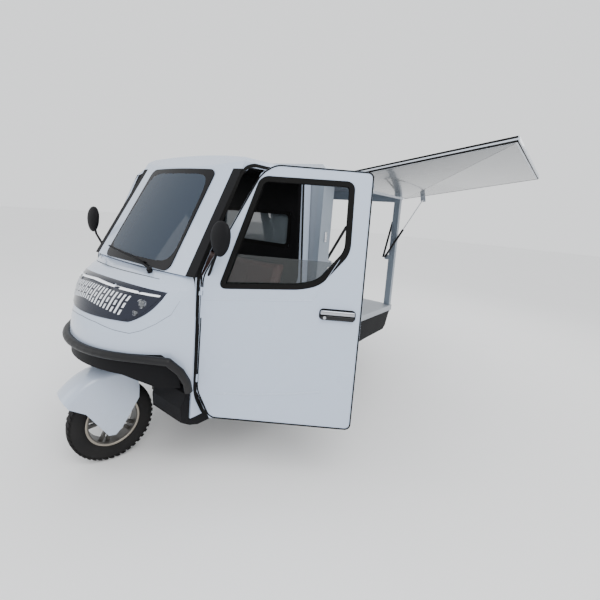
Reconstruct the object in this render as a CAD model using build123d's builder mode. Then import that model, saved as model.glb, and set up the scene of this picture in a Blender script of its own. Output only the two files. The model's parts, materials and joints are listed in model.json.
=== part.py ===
from build123d import *
import os
from math import atan2, cos, degrees, hypot, radians, sin

os.makedirs("parts", exist_ok=True)

# Electric cargo tricycle with a closed cabin and a box whose sides lift.
# Millimetres. +X forward, +Y to the vehicle's left, +Z up.
# The origin is on the ground, on the centre plane, midway between the axles.

# Wheels
WHEELBASE = 1806
FRONT_AXLE_X = 903
REAR_AXLE_X = FRONT_AXLE_X - WHEELBASE
REAR_TRACK = 876
TYRE_R = 218
TYRE_W = 104
RIM_LIP_R = 137
BEAD_R = 127
RIM_W = 88
LIP_T = 4
RIM_WALL = 7
HUB_R = 36
HUB_W = 92
AXLE_R = 10
SPOKE_PAIRS = 5
SPOKE_W = 15
SPOKE_T = 24
SPOKE_SPREAD = 24
FIT = 0.3
RUNNING = 0.1

# Steering, turned a little to the right as it is parked
RAKE_DEG = 25
AXLE_LEAD = 40
REST_STEER_DEG = -14
FORK_HALF = 84
FORK_LEG_R = 17
CROWN_FROM = 262
CROWN_T = 34
STEM_R = 19
STEM_TOP = 872
HEAD_FROM = 330
HEAD_TO = 520
HEAD_WALL = 7
BAR_R = 12
BAR_HALF = 300
GRIP_R = 17
GRIP_LENGTH = 120

# Front mudguard
GUARD_R = 312
GUARD_T = 4
GUARD_HALF = 90
GUARD_ROUND = 60
GUARD_FRONT_DEG = 32
GUARD_REAR_DEG = 112
GUARD_PLATE_T = 5

# Cabin
CAB_HALF = 515
CAB_TOP_HALF = 480
SILL_Z = 371
WAIST_Z = 1000
ROOF_EDGE_Z = 1690
ROOF_CORNER_R = 60
ROOF_CROWN_Z = 1765
CAB_WALL = 40
CAB_REAR_X = -155
COWL_REAR_X = 766
COWL_Z = 1100
SCREEN_BOW = 14
SCREEN_FOOT_X = 822
SCREEN_HEAD_X = 525
SCREEN_HEAD_Z = 1668
ROOF_FRONT_X = 400
SCREEN_FRAME_T = 26
PILLAR_DEPTH = 70
PANEL_GAP = 5
GLASS_T = 6
SCREEN_GLASS_HALF_LOW = 330
SCREEN_GLASS_HALF_TOP = 312
REAR_WINDOW_HALF = 360
REAR_WINDOW_LOW = 1215
REAR_WINDOW_TOP = 1455

# Doors, measured from the hinge at the front edge
DOOR_HINGE_X = 740
DOOR_LENGTH = 803
DOOR_TOP_Z = 1681
DOOR_T = 40
DOOR_CORNER_R = 70
LEFT_DOOR_OPEN_DEG = 55
RIGHT_DOOR_OPEN_DEG = 20
DOOR_GLASS_TOP_Z = 1225
DOOR_KNUCKLES = (560, 1010)
KNUCKLE_R = 7
KNUCKLE_PIN_R = 4

# Nose
NOSE_WALL = 8
LAMP_LOW_Z = 866
LAMP_TOP_Z = 1012
LAMP_TIP_Y = 410
LAMP_FOOT_Y = 294
LAMP_T = 22
RAIL_R = 20
RAIL_Z = 700

# Cargo box
BOX_GAP = 5
BOX_FRONT_X = CAB_REAR_X - BOX_GAP
BOX_REAR_X = REAR_AXLE_X - 636
SEAM = 0.2
FRAME_HALF = 588
TRAY_HALF = FRAME_HALF + 11
TRAY_Z = 630
TRAY_T = 12
TRAY_EDGE_H = 50
TRAY_EDGE_T = 24
TRAY_RIBS = 4
POST_X = 45
POST_Y = 57
FRONT_POST_X = 130
BOX_TOP_Z = 1811
BOX_ROOF_T = 30
TOP_RAIL_LOW_Z = 1700
TOP_RAIL_T = 34
HINGE_Y = FRAME_HALF + 16
HINGE_Z = 1685
GATE_LIFT = 10
PANEL_T = 28
PANEL_LENGTH = 1111
PANEL_OPEN_DEG = 100.5
TAILGATE_OPEN_DEG = 102
TAILGATE_HINGE_X = BOX_REAR_X - 6
GATE_HINGE_Z = 1740
HINGE_R = 5.7

# Gas struts
STRUT_PIN_Y = FRAME_HALF - 83
STRUT_PIN_Z = 1105
STRUT_TUBE_R = 10
STRUT_ROD_R = 5
STRUT_TUBE_SPARE = 52
STRUT_ROD_SPARE = 24
STRUT_EYE_R = 9
STRUT_BALL_R = 8
STRUT_EYE_OFF = 20
STRUT_EYE_DOWN = 206
STRUT_EYE_IN = 50
STRUT_FRONT_X = BOX_FRONT_X - 220
STRUT_REAR_X = BOX_REAR_X + 73
GATE_PIN_X = BOX_REAR_X + 39
GATE_PIN_Y = FRAME_HALF - 116
GATE_PIN_Z = STRUT_PIN_Z

# Chassis
RAIL_H = 60
RAIL_B = 40
CHASSIS_HALF = 260
CHASSIS_Z = TRAY_Z - TRAY_EDGE_H - RAIL_H - SEAM
LOW_RAIL_Z = 290
KICK_X = CAB_REAR_X - 95
CROSS_X = (BOX_REAR_X + 49, REAR_AXLE_X - 420, REAR_AXLE_X + 380)


def steer_plane(along):
    """Plane across the steering axis, this far up it from the axle's height; its Y points back."""
    lean = radians(RAKE_DEG)
    origin = (FRONT_AXLE_X - AXLE_LEAD - sin(lean) * along, 0, TYRE_R + cos(lean) * along)
    return Plane(origin=origin, x_dir=(0, 1, 0), z_dir=(-sin(lean), 0, cos(lean)))


STEER_AXIS = Axis(steer_plane(0).origin, steer_plane(0).z_dir)


def tyre(x, y, label):
    """A plain tyre whose wheel is centred at x, y."""
    half = TYRE_W / 2
    with BuildPart() as part:
        with BuildSketch(Plane((x, y, TYRE_R))):
            with BuildLine():
                Polyline((RIM_LIP_R + 2, half - 8), (BEAD_R + FIT, RIM_W / 2 - LIP_T - FIT),
                         (BEAD_R + FIT, -RIM_W / 2 + LIP_T + FIT), (RIM_LIP_R + 2, -half + 8))
                ThreePointArc((RIM_LIP_R + 2, -half + 8), (TYRE_R - 48, -half), (TYRE_R - 14, -half + 14))
                ThreePointArc((TYRE_R - 14, -half + 14), (TYRE_R, 0), (TYRE_R - 14, half - 14))
                ThreePointArc((TYRE_R - 14, half - 14), (TYRE_R - 48, half), (RIM_LIP_R + 2, half - 8))
            make_face()
        revolve(axis=Axis((x, y, TYRE_R), (0, 1, 0)))
    part.part.label = label
    return part


def rim(x, y, label):
    """A cast wheel with its spokes in pairs, centred at x, y."""
    half = RIM_W / 2
    with BuildPart() as part:
        with BuildSketch(Plane((x, y, TYRE_R))):
            with BuildLine():
                Polyline((BEAD_R - RIM_WALL, -half), (RIM_LIP_R, -half), (RIM_LIP_R, -half + LIP_T),
                         (BEAD_R, -half + LIP_T), (BEAD_R, half - LIP_T), (RIM_LIP_R, half - LIP_T),
                         (RIM_LIP_R, half), (BEAD_R - RIM_WALL, half), close=True)
            make_face()
        revolve(axis=Axis((x, y, TYRE_R), (0, 1, 0)))
        with BuildSketch(Plane((x, y - HUB_W / 2, TYRE_R), x_dir=(1, 0, 0), z_dir=(0, 1, 0))):
            Circle(HUB_R)
        extrude(amount=HUB_W)
        with BuildSketch(Plane((x, y - SPOKE_T / 2, TYRE_R), x_dir=(1, 0, 0), z_dir=(0, 1, 0))):
            with PolarLocations(0, SPOKE_PAIRS):
                for side in (-1, 1):
                    with Locations(Location(((HUB_R + BEAD_R) / 2 - 5, side * SPOKE_SPREAD / 2),
                                            side * 7)):
                        Rectangle(BEAD_R - HUB_R + 8, SPOKE_W)
        extrude(amount=SPOKE_T)
        with BuildSketch(Plane((x, y - HUB_W / 2, TYRE_R), x_dir=(1, 0, 0), z_dir=(0, 1, 0))):
            Circle(AXLE_R + RUNNING)
        extrude(amount=HUB_W, mode=Mode.SUBTRACT)
    part.part.label = label
    return part


def slab(x, y, z, mode=Mode.ADD):
    """A block between two values of x, of y and of z, inside the open block of work."""
    with Locations(((x[0] + x[1]) / 2, (y[0] + y[1]) / 2, (z[0] + z[1]) / 2)):
        Box(x[1] - x[0], y[1] - y[0], z[1] - z[0], mode=mode)


def side_plate(points, y, mode=Mode.ADD):
    """A plate whose outline is drawn in x and z, between two values of y."""
    with BuildSketch(Plane.XZ.offset(-y[1])) as face:
        with BuildLine():
            Polyline(*points, close=True)
        make_face()
    extrude(face.sketch, amount=y[1] - y[0], mode=mode)


def front_plate(points, x, mode=Mode.ADD):
    """A plate whose outline is drawn in y and z, between two values of x."""
    with BuildSketch(Plane.YZ.offset(x[0])) as face:
        with BuildLine():
            Polyline(*points, close=True)
        make_face()
    extrude(face.sketch, amount=x[1] - x[0], mode=mode)


def rod(start, end, radius, mode=Mode.ADD):
    """A round bar from one point to another."""
    reach = Vector(*end) - Vector(*start)
    with BuildSketch(Plane(origin=start, z_dir=reach)) as face:
        Circle(radius)
    extrude(face.sketch, amount=reach.length, mode=mode)


def cab_section(inset):
    """The cabin as a long bar with the shape it has from the front, this far inside its skin."""
    low = SILL_Z if inset == 0 else SILL_Z - 100
    side = CAB_HALF - inset
    top = CAB_TOP_HALF - inset
    crown = ROOF_CROWN_Z - inset
    shoulder = crown - (ROOF_CROWN_Z - ROOF_EDGE_Z) * 0.3
    near = (top - ROOF_CORNER_R * 0.22, (ROOF_EDGE_Z + shoulder) / 2 + 10)
    with BuildPart() as bar:
        with BuildSketch(Plane.YZ.offset(CAB_REAR_X - 50)):
            with BuildLine():
                Polyline((-top, ROOF_EDGE_Z), (-side, WAIST_Z), (-side, low), (side, low), (side, WAIST_Z),
                         (top, ROOF_EDGE_Z))
                ThreePointArc((top, ROOF_EDGE_Z), near, (top - ROOF_CORNER_R, shoulder))
                ThreePointArc((top - ROOF_CORNER_R, shoulder), (0, crown), (-top + ROOF_CORNER_R, shoulder))
                ThreePointArc((-top + ROOF_CORNER_R, shoulder), (-near[0], near[1]), (-top, ROOF_EDGE_Z))
            make_face()
        extrude(amount=1200)
    return bar.part


def screen_x(z):
    """Where the windscreen's outer face stands at this height, on the centre plane."""
    return SCREEN_FOOT_X + (SCREEN_HEAD_X - SCREEN_FOOT_X) * (z - COWL_Z) / (SCREEN_HEAD_Z - COWL_Z)


SCREEN_LEAN = degrees(atan2(SCREEN_FOOT_X - SCREEN_HEAD_X, SCREEN_HEAD_Z - COWL_Z))
SCREEN_PLANE = Plane(origin=(SCREEN_FOOT_X, 0, COWL_Z), x_dir=(0, 1, 0),
                     z_dir=(cos(radians(SCREEN_LEAN)), 0, sin(radians(SCREEN_LEAN))))
SCREEN_SLOPE = hypot(SCREEN_FOOT_X - SCREEN_HEAD_X, SCREEN_HEAD_Z - COWL_Z)


def screen_bow(inset):
    """Everything behind the bowed face of the windscreen, this far inside it."""
    across = Plane(origin=SCREEN_PLANE.origin, x_dir=(0, 1, 0),
                   z_dir=(-sin(radians(SCREEN_LEAN)), 0, cos(radians(SCREEN_LEAN))))
    sag = SCREEN_BOW * (600 / SCREEN_GLASS_HALF_LOW) ** 2
    with BuildPart() as block:
        with BuildSketch(across.offset(-1200)):
            with BuildLine():
                ThreePointArc((-600, sag + inset), (0, inset), (600, sag + inset))
                Polyline((600, sag + inset), (600, 1400), (-600, 1400), (-600, sag + inset))
            make_face()
        extrude(amount=2400)
    return block.part


def cab_side(inset):
    """The cabin as a wide bar with the shape it has from the side, this far inside its skin."""
    low = SILL_Z if inset == 0 else SILL_Z - 100
    high = ROOF_CROWN_Z + 60
    front = COWL_REAR_X - inset
    with BuildPart() as bar:
        with BuildSketch(Plane.XZ):
            with BuildLine():
                Polyline((front, low), (front, COWL_Z + inset), (SCREEN_FOOT_X + 40, COWL_Z + inset),
                         (SCREEN_FOOT_X + 40, SCREEN_HEAD_Z), (SCREEN_HEAD_X - inset, SCREEN_HEAD_Z + 5 - inset / 4),
                         (ROOF_FRONT_X - inset, ROOF_CROWN_Z - inset), (ROOF_FRONT_X - inset, high),
                         (CAB_REAR_X + inset, high), (CAB_REAR_X + inset, low), close=True)
            make_face()
        extrude(amount=700, both=True)
    return bar.part


def cab_solid(inset):
    """The cabin as one solid, this far inside its skin."""
    return cab_section(inset) & cab_side(inset) & screen_bow(inset * SCREEN_FRAME_T / CAB_WALL)


def door_outline(grow):
    """The left door's outline from the side, grown by this much, carried through the whole cabin."""
    with BuildPart() as bar:
        with BuildSketch(Plane.XZ) as face:
            with BuildLine():
                Polyline((DOOR_HINGE_X, 515), (DOOR_HINGE_X, 1105), (DOOR_HINGE_X - 250, 1630),
                         (DOOR_HINGE_X - 320, DOOR_TOP_Z), (DOOR_HINGE_X - DOOR_LENGTH, DOOR_TOP_Z),
                         (DOOR_HINGE_X - DOOR_LENGTH, SILL_Z), (DOOR_HINGE_X - 75, SILL_Z), close=True)
            make_face()
            fillet(face.vertices().sort_by(Axis.X)[:2], DOOR_CORNER_R / 2)
            if grow:
                offset(amount=grow)
        extrude(amount=700, both=True)
    return bar.part


def window_outline(shrink):
    """The left door's window from the side, shrunk by this much, carried through the cabin."""
    x = DOOR_HINGE_X
    with BuildPart() as bar:
        with BuildSketch(Plane.XZ) as face:
            with BuildLine():
                Polyline((x - 97, 1064), (x - 262, 1600), (x - 697, 1612), (x - 697, 1280), (x - 573, 1126),
                         (x - 486, 1100), close=True)
            make_face()
            fillet(face.vertices(), 24)
            if shrink:
                offset(amount=-shrink)
        extrude(amount=700, both=True)
    return bar.part


CAB_SKIN = cab_section(0)
CAB_SHELL = cab_solid(0) - cab_solid(CAB_WALL)
DOORWAYS = door_outline(PANEL_GAP) - Box(3000, 2 * CAB_HALF - 230, 4000)
CAB_FRAME = CAB_SHELL - DOORWAYS
HALF_PLANE = Box(4000, 2000, 4000).locate(Location((0, 1000, 0)))

NOSE_SECTIONS = (
    # height, reach forward on the centre plane, half width at the rear edge
    (520, 1070, 512),
    (700, 1085, 512),
    (800, 1076, 512),
    (866, 1062, 511),
    (960, 1041, 508),
    (1000, 1024, 505),
    (1028, 1002, 502),
    (1052, 966, 497),
    (1072, 918, 491),
    (1085, 872, 485),
    (1094, 832, 478),
)


def nose_solid(grow):
    """The nose as one solid, its skin moved outward by this much."""
    with BuildPart() as body:
        for z, reach, half in NOSE_SECTIONS:
            with BuildSketch(Plane.XY.offset(z + grow * (z > 1050))):
                with BuildLine():
                    ThreePointArc((COWL_REAR_X + FIT, -half - grow), (reach + grow, 0),
                                  (COWL_REAR_X + FIT, half + grow))
                    Line((COWL_REAR_X + FIT, half + grow), (COWL_REAR_X + FIT, -half - grow))
                make_face()
        loft(ruled=True)
    return body.part


def lamp_outline(grow):
    """The lamp unit's outline from the front, grown by this much, carried through the nose."""
    with BuildPart() as bar:
        with BuildSketch(Plane.YZ.offset(772)):
            with BuildLine():
                ThreePointArc((-LAMP_TIP_Y, LAMP_TOP_Z - 4), (0, LAMP_TOP_Z + 4), (LAMP_TIP_Y, LAMP_TOP_Z - 4))
                ThreePointArc((LAMP_TIP_Y, LAMP_TOP_Z - 4), (370, 925), (LAMP_FOOT_Y, LAMP_LOW_Z))
                Line((LAMP_FOOT_Y, LAMP_LOW_Z), (-LAMP_FOOT_Y, LAMP_LOW_Z))
                ThreePointArc((-LAMP_FOOT_Y, LAMP_LOW_Z), (-370, 925), (-LAMP_TIP_Y, LAMP_TOP_Z - 4))
            make_face()
            if grow:
                offset(amount=grow)
        extrude(amount=400)
    return bar.part


NOSE_OUTER = nose_solid(0)
NOSE_INNER = nose_solid(-NOSE_WALL)

# Chassis
with BuildPart() as chassis:
    for side in (-1, 1):
        side_plate(((BOX_REAR_X + 39, CHASSIS_Z), (KICK_X - 180, CHASSIS_Z), (KICK_X, LOW_RAIL_Z), (600, LOW_RAIL_Z),
                    (600, LOW_RAIL_Z + RAIL_B), (KICK_X + 22, LOW_RAIL_Z + RAIL_B), (KICK_X - 160, CHASSIS_Z + RAIL_H),
                    (BOX_REAR_X + 39, CHASSIS_Z + RAIL_H)),
                   sorted((side * (CHASSIS_HALF - RAIL_B), side * CHASSIS_HALF)))
        for x in CROSS_X:
            slab((x, x + RAIL_B), sorted((side * (CHASSIS_HALF + SEAM), side * (TRAY_HALF - 59))),
                 (CHASSIS_Z + 10, CHASSIS_Z + 50))
    for x in CROSS_X:
        slab((x, x + RAIL_B), (-CHASSIS_HALF + RAIL_B + SEAM, CHASSIS_HALF - RAIL_B - SEAM), (CHASSIS_Z + 10, CHASSIS_Z + 50))
    for x in (-200, 200, 560):
        slab((x, x + RAIL_B), (-CHASSIS_HALF + RAIL_B + SEAM, CHASSIS_HALF - RAIL_B - SEAM),
             (LOW_RAIL_Z, LOW_RAIL_Z + RAIL_B))
    side_plate(((608, 290), (648, 290), (648, 480), (690, 540), (662, 640), (622, 614), (610, 540)), (-30, 30))
    slab((560, 640), (-30, 30), (290, 330))
    with BuildSketch(steer_plane(HEAD_FROM)):
        Circle(STEM_R + RUNNING + HEAD_WALL)
    extrude(amount=HEAD_TO - HEAD_FROM)
    with BuildSketch(steer_plane(HEAD_FROM)):
        Circle(STEM_R + RUNNING)
    extrude(amount=HEAD_TO - HEAD_FROM, mode=Mode.SUBTRACT)
chassis.part.label = "chassis"
export_step(chassis.part, "parts/chassis.step")

# Rear axle, its motor and springs
REAR_HALF = REAR_TRACK / 2
SPRING_Y = 320
with BuildPart() as rear_axle:
    rod((REAR_AXLE_X, -REAR_HALF + HUB_W / 2 + 3, TYRE_R), (REAR_AXLE_X, REAR_HALF - HUB_W / 2 - 3, TYRE_R), 26)
    rod((REAR_AXLE_X, -REAR_HALF - HUB_W / 2 - 6, TYRE_R), (REAR_AXLE_X, REAR_HALF + HUB_W / 2 + 6, TYRE_R), AXLE_R)
    rod((REAR_AXLE_X, -70, TYRE_R), (REAR_AXLE_X, 70, TYRE_R), 78)
    for side in (-1, 1):
        slab((REAR_AXLE_X - 40, REAR_AXLE_X + 40), sorted((side * (SPRING_Y - 28), side * (SPRING_Y + 28))),
             (TYRE_R - 30, TYRE_R + 39.7))
rear_axle.part.label = "rear_axle"
export_step(rear_axle.part, "parts/rear_axle.step")

with BuildPart() as drive_motor:
    with BuildSketch(Plane((REAR_AXLE_X + 78.3, 0, TYRE_R), x_dir=(0, 1, 0), z_dir=(1, 0, 0))):
        Circle(72)
    extrude(amount=170)
drive_motor.part.label = "drive_motor"
export_step(drive_motor.part, "parts/drive_motor.step")

with BuildPart() as rear_springs:
    for side in (-1, 1):
        across = sorted((side * (SPRING_Y - 25), side * (SPRING_Y + 25)))
        with BuildSketch(Plane.XZ.offset(-across[1])):
            with BuildLine():
                ThreePointArc((REAR_AXLE_X - 400, 420), (REAR_AXLE_X, TYRE_R + 40), (REAR_AXLE_X + 400, 420))
                Line((REAR_AXLE_X + 400, 420), (REAR_AXLE_X + 400, 430))
                ThreePointArc((REAR_AXLE_X + 400, 430), (REAR_AXLE_X, TYRE_R + 64), (REAR_AXLE_X - 400, 430))
                Line((REAR_AXLE_X - 400, 430), (REAR_AXLE_X - 400, 420))
            make_face()
        extrude(amount=across[1] - across[0])
        for x in (REAR_AXLE_X - 400, REAR_AXLE_X + 400):
            rod((x, across[0], 425), (x, across[1], 425), 18)
            slab((x - 20, x + 20), (across[0], across[1]), (440, CHASSIS_Z + 9.8))
rear_springs.part.label = "rear_springs"
export_step(rear_springs.part, "parts/rear_springs.step")

with BuildPart() as battery_block:
    slab((-190, 190), (-CHASSIS_HALF + 50, CHASSIS_HALF - 50), (200, 289.8))
battery_block.part.label = "battery_block"
export_step(battery_block.part, "parts/battery_block.step")

# Wheels
WHEELS = (
    # which wheel, x, y
    ("front", FRONT_AXLE_X, 0),
    ("rear_left", REAR_AXLE_X, REAR_HALF),
    ("rear_right", REAR_AXLE_X, -REAR_HALF),
)
for place, x, y in WHEELS:
    with BuildPart() as tyre:
        with BuildSketch(Plane((x, y, TYRE_R))):
            with BuildLine():
                Polyline((RIM_LIP_R + 2, TYRE_W / 2 - 8), (RIM_LIP_R + 1, RIM_W / 2 - LIP_T - FIT),
                         (BEAD_R + FIT, RIM_W / 2 - LIP_T - FIT), (BEAD_R + FIT, -RIM_W / 2 + LIP_T + FIT),
                         (RIM_LIP_R + 1, -RIM_W / 2 + LIP_T + FIT), (RIM_LIP_R + 2, -TYRE_W / 2 + 8))
                ThreePointArc((RIM_LIP_R + 2, -TYRE_W / 2 + 8), (TYRE_R - 48, -TYRE_W / 2),
                              (TYRE_R - 14, -TYRE_W / 2 + 14))
                ThreePointArc((TYRE_R - 14, -TYRE_W / 2 + 14), (TYRE_R, 0), (TYRE_R - 14, TYRE_W / 2 - 14))
                ThreePointArc((TYRE_R - 14, TYRE_W / 2 - 14), (TYRE_R - 48, TYRE_W / 2),
                              (RIM_LIP_R + 2, TYRE_W / 2 - 8))
            make_face()
        revolve(axis=Axis((x, y, TYRE_R), (0, 1, 0)))
    with BuildPart() as rim:
        with BuildSketch(Plane((x, y, TYRE_R))):
            with BuildLine():
                Polyline((BEAD_R - RIM_WALL, -RIM_W / 2), (RIM_LIP_R, -RIM_W / 2),
                         (RIM_LIP_R, -RIM_W / 2 + LIP_T), (BEAD_R, -RIM_W / 2 + LIP_T),
                         (BEAD_R, RIM_W / 2 - LIP_T), (RIM_LIP_R, RIM_W / 2 - LIP_T),
                         (RIM_LIP_R, RIM_W / 2), (BEAD_R - RIM_WALL, RIM_W / 2), close=True)
            make_face()
        revolve(axis=Axis((x, y, TYRE_R), (0, 1, 0)))
        rod((x, y - HUB_W / 2, TYRE_R), (x, y + HUB_W / 2, TYRE_R), HUB_R)
        with BuildSketch(Plane((x, y - SPOKE_T / 2, TYRE_R), x_dir=(1, 0, 0), z_dir=(0, 1, 0))):
            with PolarLocations(0, SPOKE_PAIRS):
                for side in (-1, 1):
                    with Locations(Location(((HUB_R + BEAD_R) / 2 - 5, side * SPOKE_SPREAD / 2), side * 7)):
                        Rectangle(BEAD_R - HUB_R + 8, SPOKE_W)
        extrude(amount=SPOKE_T)
        rod((x, y - HUB_W / 2, TYRE_R), (x, y + HUB_W / 2, TYRE_R), AXLE_R + RUNNING, Mode.SUBTRACT)
    if place == "front":
        tyre.part = tyre.part.rotate(STEER_AXIS, REST_STEER_DEG)
        rim.part = rim.part.rotate(STEER_AXIS, REST_STEER_DEG)
    tyre.part.label = "tyre_" + place
    rim.part.label = "rim_" + place
    export_step(tyre.part, "parts/tyre_" + place + ".step")
    export_step(rim.part, "parts/rim_" + place + ".step")

# Fork
AXLE_BACK = -AXLE_LEAD * cos(radians(RAKE_DEG))
AXLE_ALONG = -AXLE_LEAD * sin(radians(RAKE_DEG))
with BuildPart() as fork:
    with BuildSketch(steer_plane(AXLE_ALONG - 24)):
        for side in (-1, 1):
            with Locations((side * FORK_HALF, AXLE_BACK)):
                Circle(FORK_LEG_R)
    extrude(amount=CROWN_FROM + 30 - AXLE_ALONG)
    with BuildSketch(steer_plane(CROWN_FROM)):
        with Locations((0, AXLE_BACK / 2)):
            RectangleRounded(2 * FORK_HALF + 40, 60, 20)
    extrude(amount=CROWN_T)
    with BuildSketch(steer_plane(CROWN_FROM + CROWN_T - 1)):
        Circle(STEM_R)
    extrude(amount=STEM_TOP - CROWN_FROM - CROWN_T)
    rod((FRONT_AXLE_X, -FORK_HALF - FORK_LEG_R - 6, TYRE_R), (FRONT_AXLE_X, FORK_HALF + FORK_LEG_R + 6, TYRE_R), AXLE_R)
fork.part = fork.part.rotate(STEER_AXIS, REST_STEER_DEG)
fork.part.label = "fork"
export_step(fork.part, "parts/fork.step")

# Front mudguard, a rounded hood with a lobe down each side of the wheel
GUARD_OUTLINE = ((1160, 424), (1120, 470), (1050, 512), (985, 530), (924, 533), (850, 515), (795, 470), (784, 400),
                 (786, 340), (872, 200), (905, 168), (940, 172), (985, 235), (1045, 320), (1119, 366))


def guard_hood(inset):
    """The mudguard's rounded hood as one solid, this far inside its skin."""
    with BuildPart() as hood:
        for y, shrink in ((-GUARD_HALF - 22, 46), (-GUARD_HALF - 6, 18), (-GUARD_HALF + 30, 4), (0, 0),
                          (GUARD_HALF - 30, 4), (GUARD_HALF + 6, 18), (GUARD_HALF + 22, 46)):
            depth = y - inset * (1 if y > 0 else -1 if y < 0 else 0)
            with BuildSketch(Plane((FRONT_AXLE_X, depth, TYRE_R), x_dir=(1, 0, 0), z_dir=(0, 1, 0))):
                Circle(GUARD_R + 4 - shrink - inset)
        loft()
    return hood.part


guard_shell = guard_hood(0) - guard_hood(GUARD_T)
with BuildPart() as mudguard:
    side_plate(GUARD_OUTLINE, (-200, 200))
    add(guard_shell, mode=Mode.INTERSECT)
mudguard.part = mudguard.part.rotate(STEER_AXIS, REST_STEER_DEG)
mudguard.part.label = "mudguard"
export_step(mudguard.part, "parts/mudguard.step")

# Handlebar
bar_centre = steer_plane(STEM_TOP - 16).origin
with BuildPart() as handlebar:
    rod((bar_centre.X - 26, -BAR_HALF, bar_centre.Z + 12), (bar_centre.X - 26, BAR_HALF, bar_centre.Z + 12), BAR_R)
    for side in (-1, 1):
        rod((bar_centre.X - 26, side * (BAR_HALF - GRIP_LENGTH), bar_centre.Z + 12),
            (bar_centre.X - 26, side * BAR_HALF, bar_centre.Z + 12), GRIP_R)
    with BuildSketch(steer_plane(STEM_TOP - 60)):
        Circle(STEM_R + 9)
    extrude(amount=66)
    with BuildSketch(steer_plane(STEM_TOP - 60)):
        Circle(STEM_R + FIT)
    extrude(amount=60, mode=Mode.SUBTRACT)
handlebar.part = handlebar.part.rotate(STEER_AXIS, REST_STEER_DEG)
handlebar.part.label = "handlebar"
export_step(handlebar.part, "parts/handlebar.step")

# Cabin: bulkhead, windscreen frame, roof and rear wall cut from one shell
ARCH_HALF = 250
ARCH_Z = 600
with BuildPart() as bulkhead:
    add(CAB_FRAME)
    slab((640, 900), (-600, 600), (SILL_Z - 5, COWL_Z - 0.3), Mode.INTERSECT)
    slab((600, 900), (-ARCH_HALF - 8.3, ARCH_HALF + 8.3), (SILL_Z - 10, ARCH_Z + 8.3), Mode.SUBTRACT)
    for side in (-1, 1):
        for z in DOOR_KNUCKLES:
            at = (DOOR_HINGE_X, side * CAB_HALF)
            rod((at[0], at[1], z - 1), (at[0], at[1], z + 41), KNUCKLE_R + 2, Mode.SUBTRACT)
            rod((at[0], at[1], z), (at[0], at[1], z + 20), KNUCKLE_R)
            slab((at[0], at[0] + 14), sorted((side * (CAB_HALF - 6), side * CAB_HALF)), (z, z + 20))
            rod((at[0], at[1], z + 20), (at[0], at[1], z + 40), KNUCKLE_PIN_R)
bulkhead.part.label = "bulkhead"
export_step(bulkhead.part, "parts/bulkhead.step")

SEAM_X = 392
with BuildPart() as windscreen_frame:
    add(CAB_FRAME)
    slab((SEAM_X + 0.2, 900), (-600, 600), (COWL_Z, 1900), Mode.INTERSECT)
    with BuildSketch(SCREEN_PLANE.offset(-60)):
        with BuildLine():
            Polyline((-SCREEN_GLASS_HALF_LOW + 24, 40), (SCREEN_GLASS_HALF_LOW - 24, 40),
                     (SCREEN_GLASS_HALF_TOP - 24, SCREEN_SLOPE - 30), (-SCREEN_GLASS_HALF_TOP + 24, SCREEN_SLOPE - 30),
                     close=True)
        make_face()
    extrude(amount=120, mode=Mode.SUBTRACT)
windscreen_frame.part.label = "windscreen_frame"
export_step(windscreen_frame.part, "parts/windscreen_frame.step")

with BuildPart() as windscreen:
    with BuildSketch(SCREEN_PLANE.offset(-60)) as outline:
        with BuildLine():
            Polyline((-SCREEN_GLASS_HALF_LOW, 8), (SCREEN_GLASS_HALF_LOW, 8),
                     (SCREEN_GLASS_HALF_TOP, SCREEN_SLOPE - 6), (-SCREEN_GLASS_HALF_TOP, SCREEN_SLOPE - 6), close=True)
        make_face()
        fillet(outline.vertices(), 45)
    extrude(amount=120)
    add(screen_bow(-GLASS_T - 0.5) - screen_bow(-0.5), mode=Mode.INTERSECT)
windscreen.part.label = "windscreen"
export_step(windscreen.part, "parts/windscreen.step")

ROOF_SEAM_Z = 1686
with BuildPart() as roof:
    add(CAB_FRAME)
    slab((CAB_REAR_X - 5, SEAM_X - 0.2), (-600, 600), (ROOF_SEAM_Z + 0.2, 1900), Mode.INTERSECT)
roof.part.label = "roof"
export_step(roof.part, "parts/roof.step")

with BuildPart() as rear_wall:
    add(CAB_FRAME)
    slab((CAB_REAR_X - 5, DOOR_HINGE_X - DOOR_LENGTH + 20), (-600, 600), (SILL_Z - 5, ROOF_SEAM_Z - 0.2),
         Mode.INTERSECT)
    slab((CAB_REAR_X - 5, CAB_REAR_X + 45), (-REAR_WINDOW_HALF, REAR_WINDOW_HALF),
         (REAR_WINDOW_LOW, REAR_WINDOW_TOP), Mode.SUBTRACT)
rear_wall.part.label = "rear_wall"
export_step(rear_wall.part, "parts/rear_wall.step")

with BuildPart() as rear_window:
    slab((CAB_REAR_X + 18, CAB_REAR_X + 23), (-REAR_WINDOW_HALF + FIT, REAR_WINDOW_HALF - FIT),
         (REAR_WINDOW_LOW + FIT, REAR_WINDOW_TOP - FIT))
rear_window.part.label = "rear_window"
export_step(rear_window.part, "parts/rear_window.step")

# Floor and the black legs around the front wheel
with BuildPart() as cab_floor:
    slab((CAB_REAR_X, 593.7), (-468, 468), (330.3, SILL_Z - 0.3))
    slab((CAB_REAR_X, 593.7), (-505, 505), (330.3, 364))
cab_floor.part.label = "cab_floor"
export_step(cab_floor.part, "parts/cab_floor.step")

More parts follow.
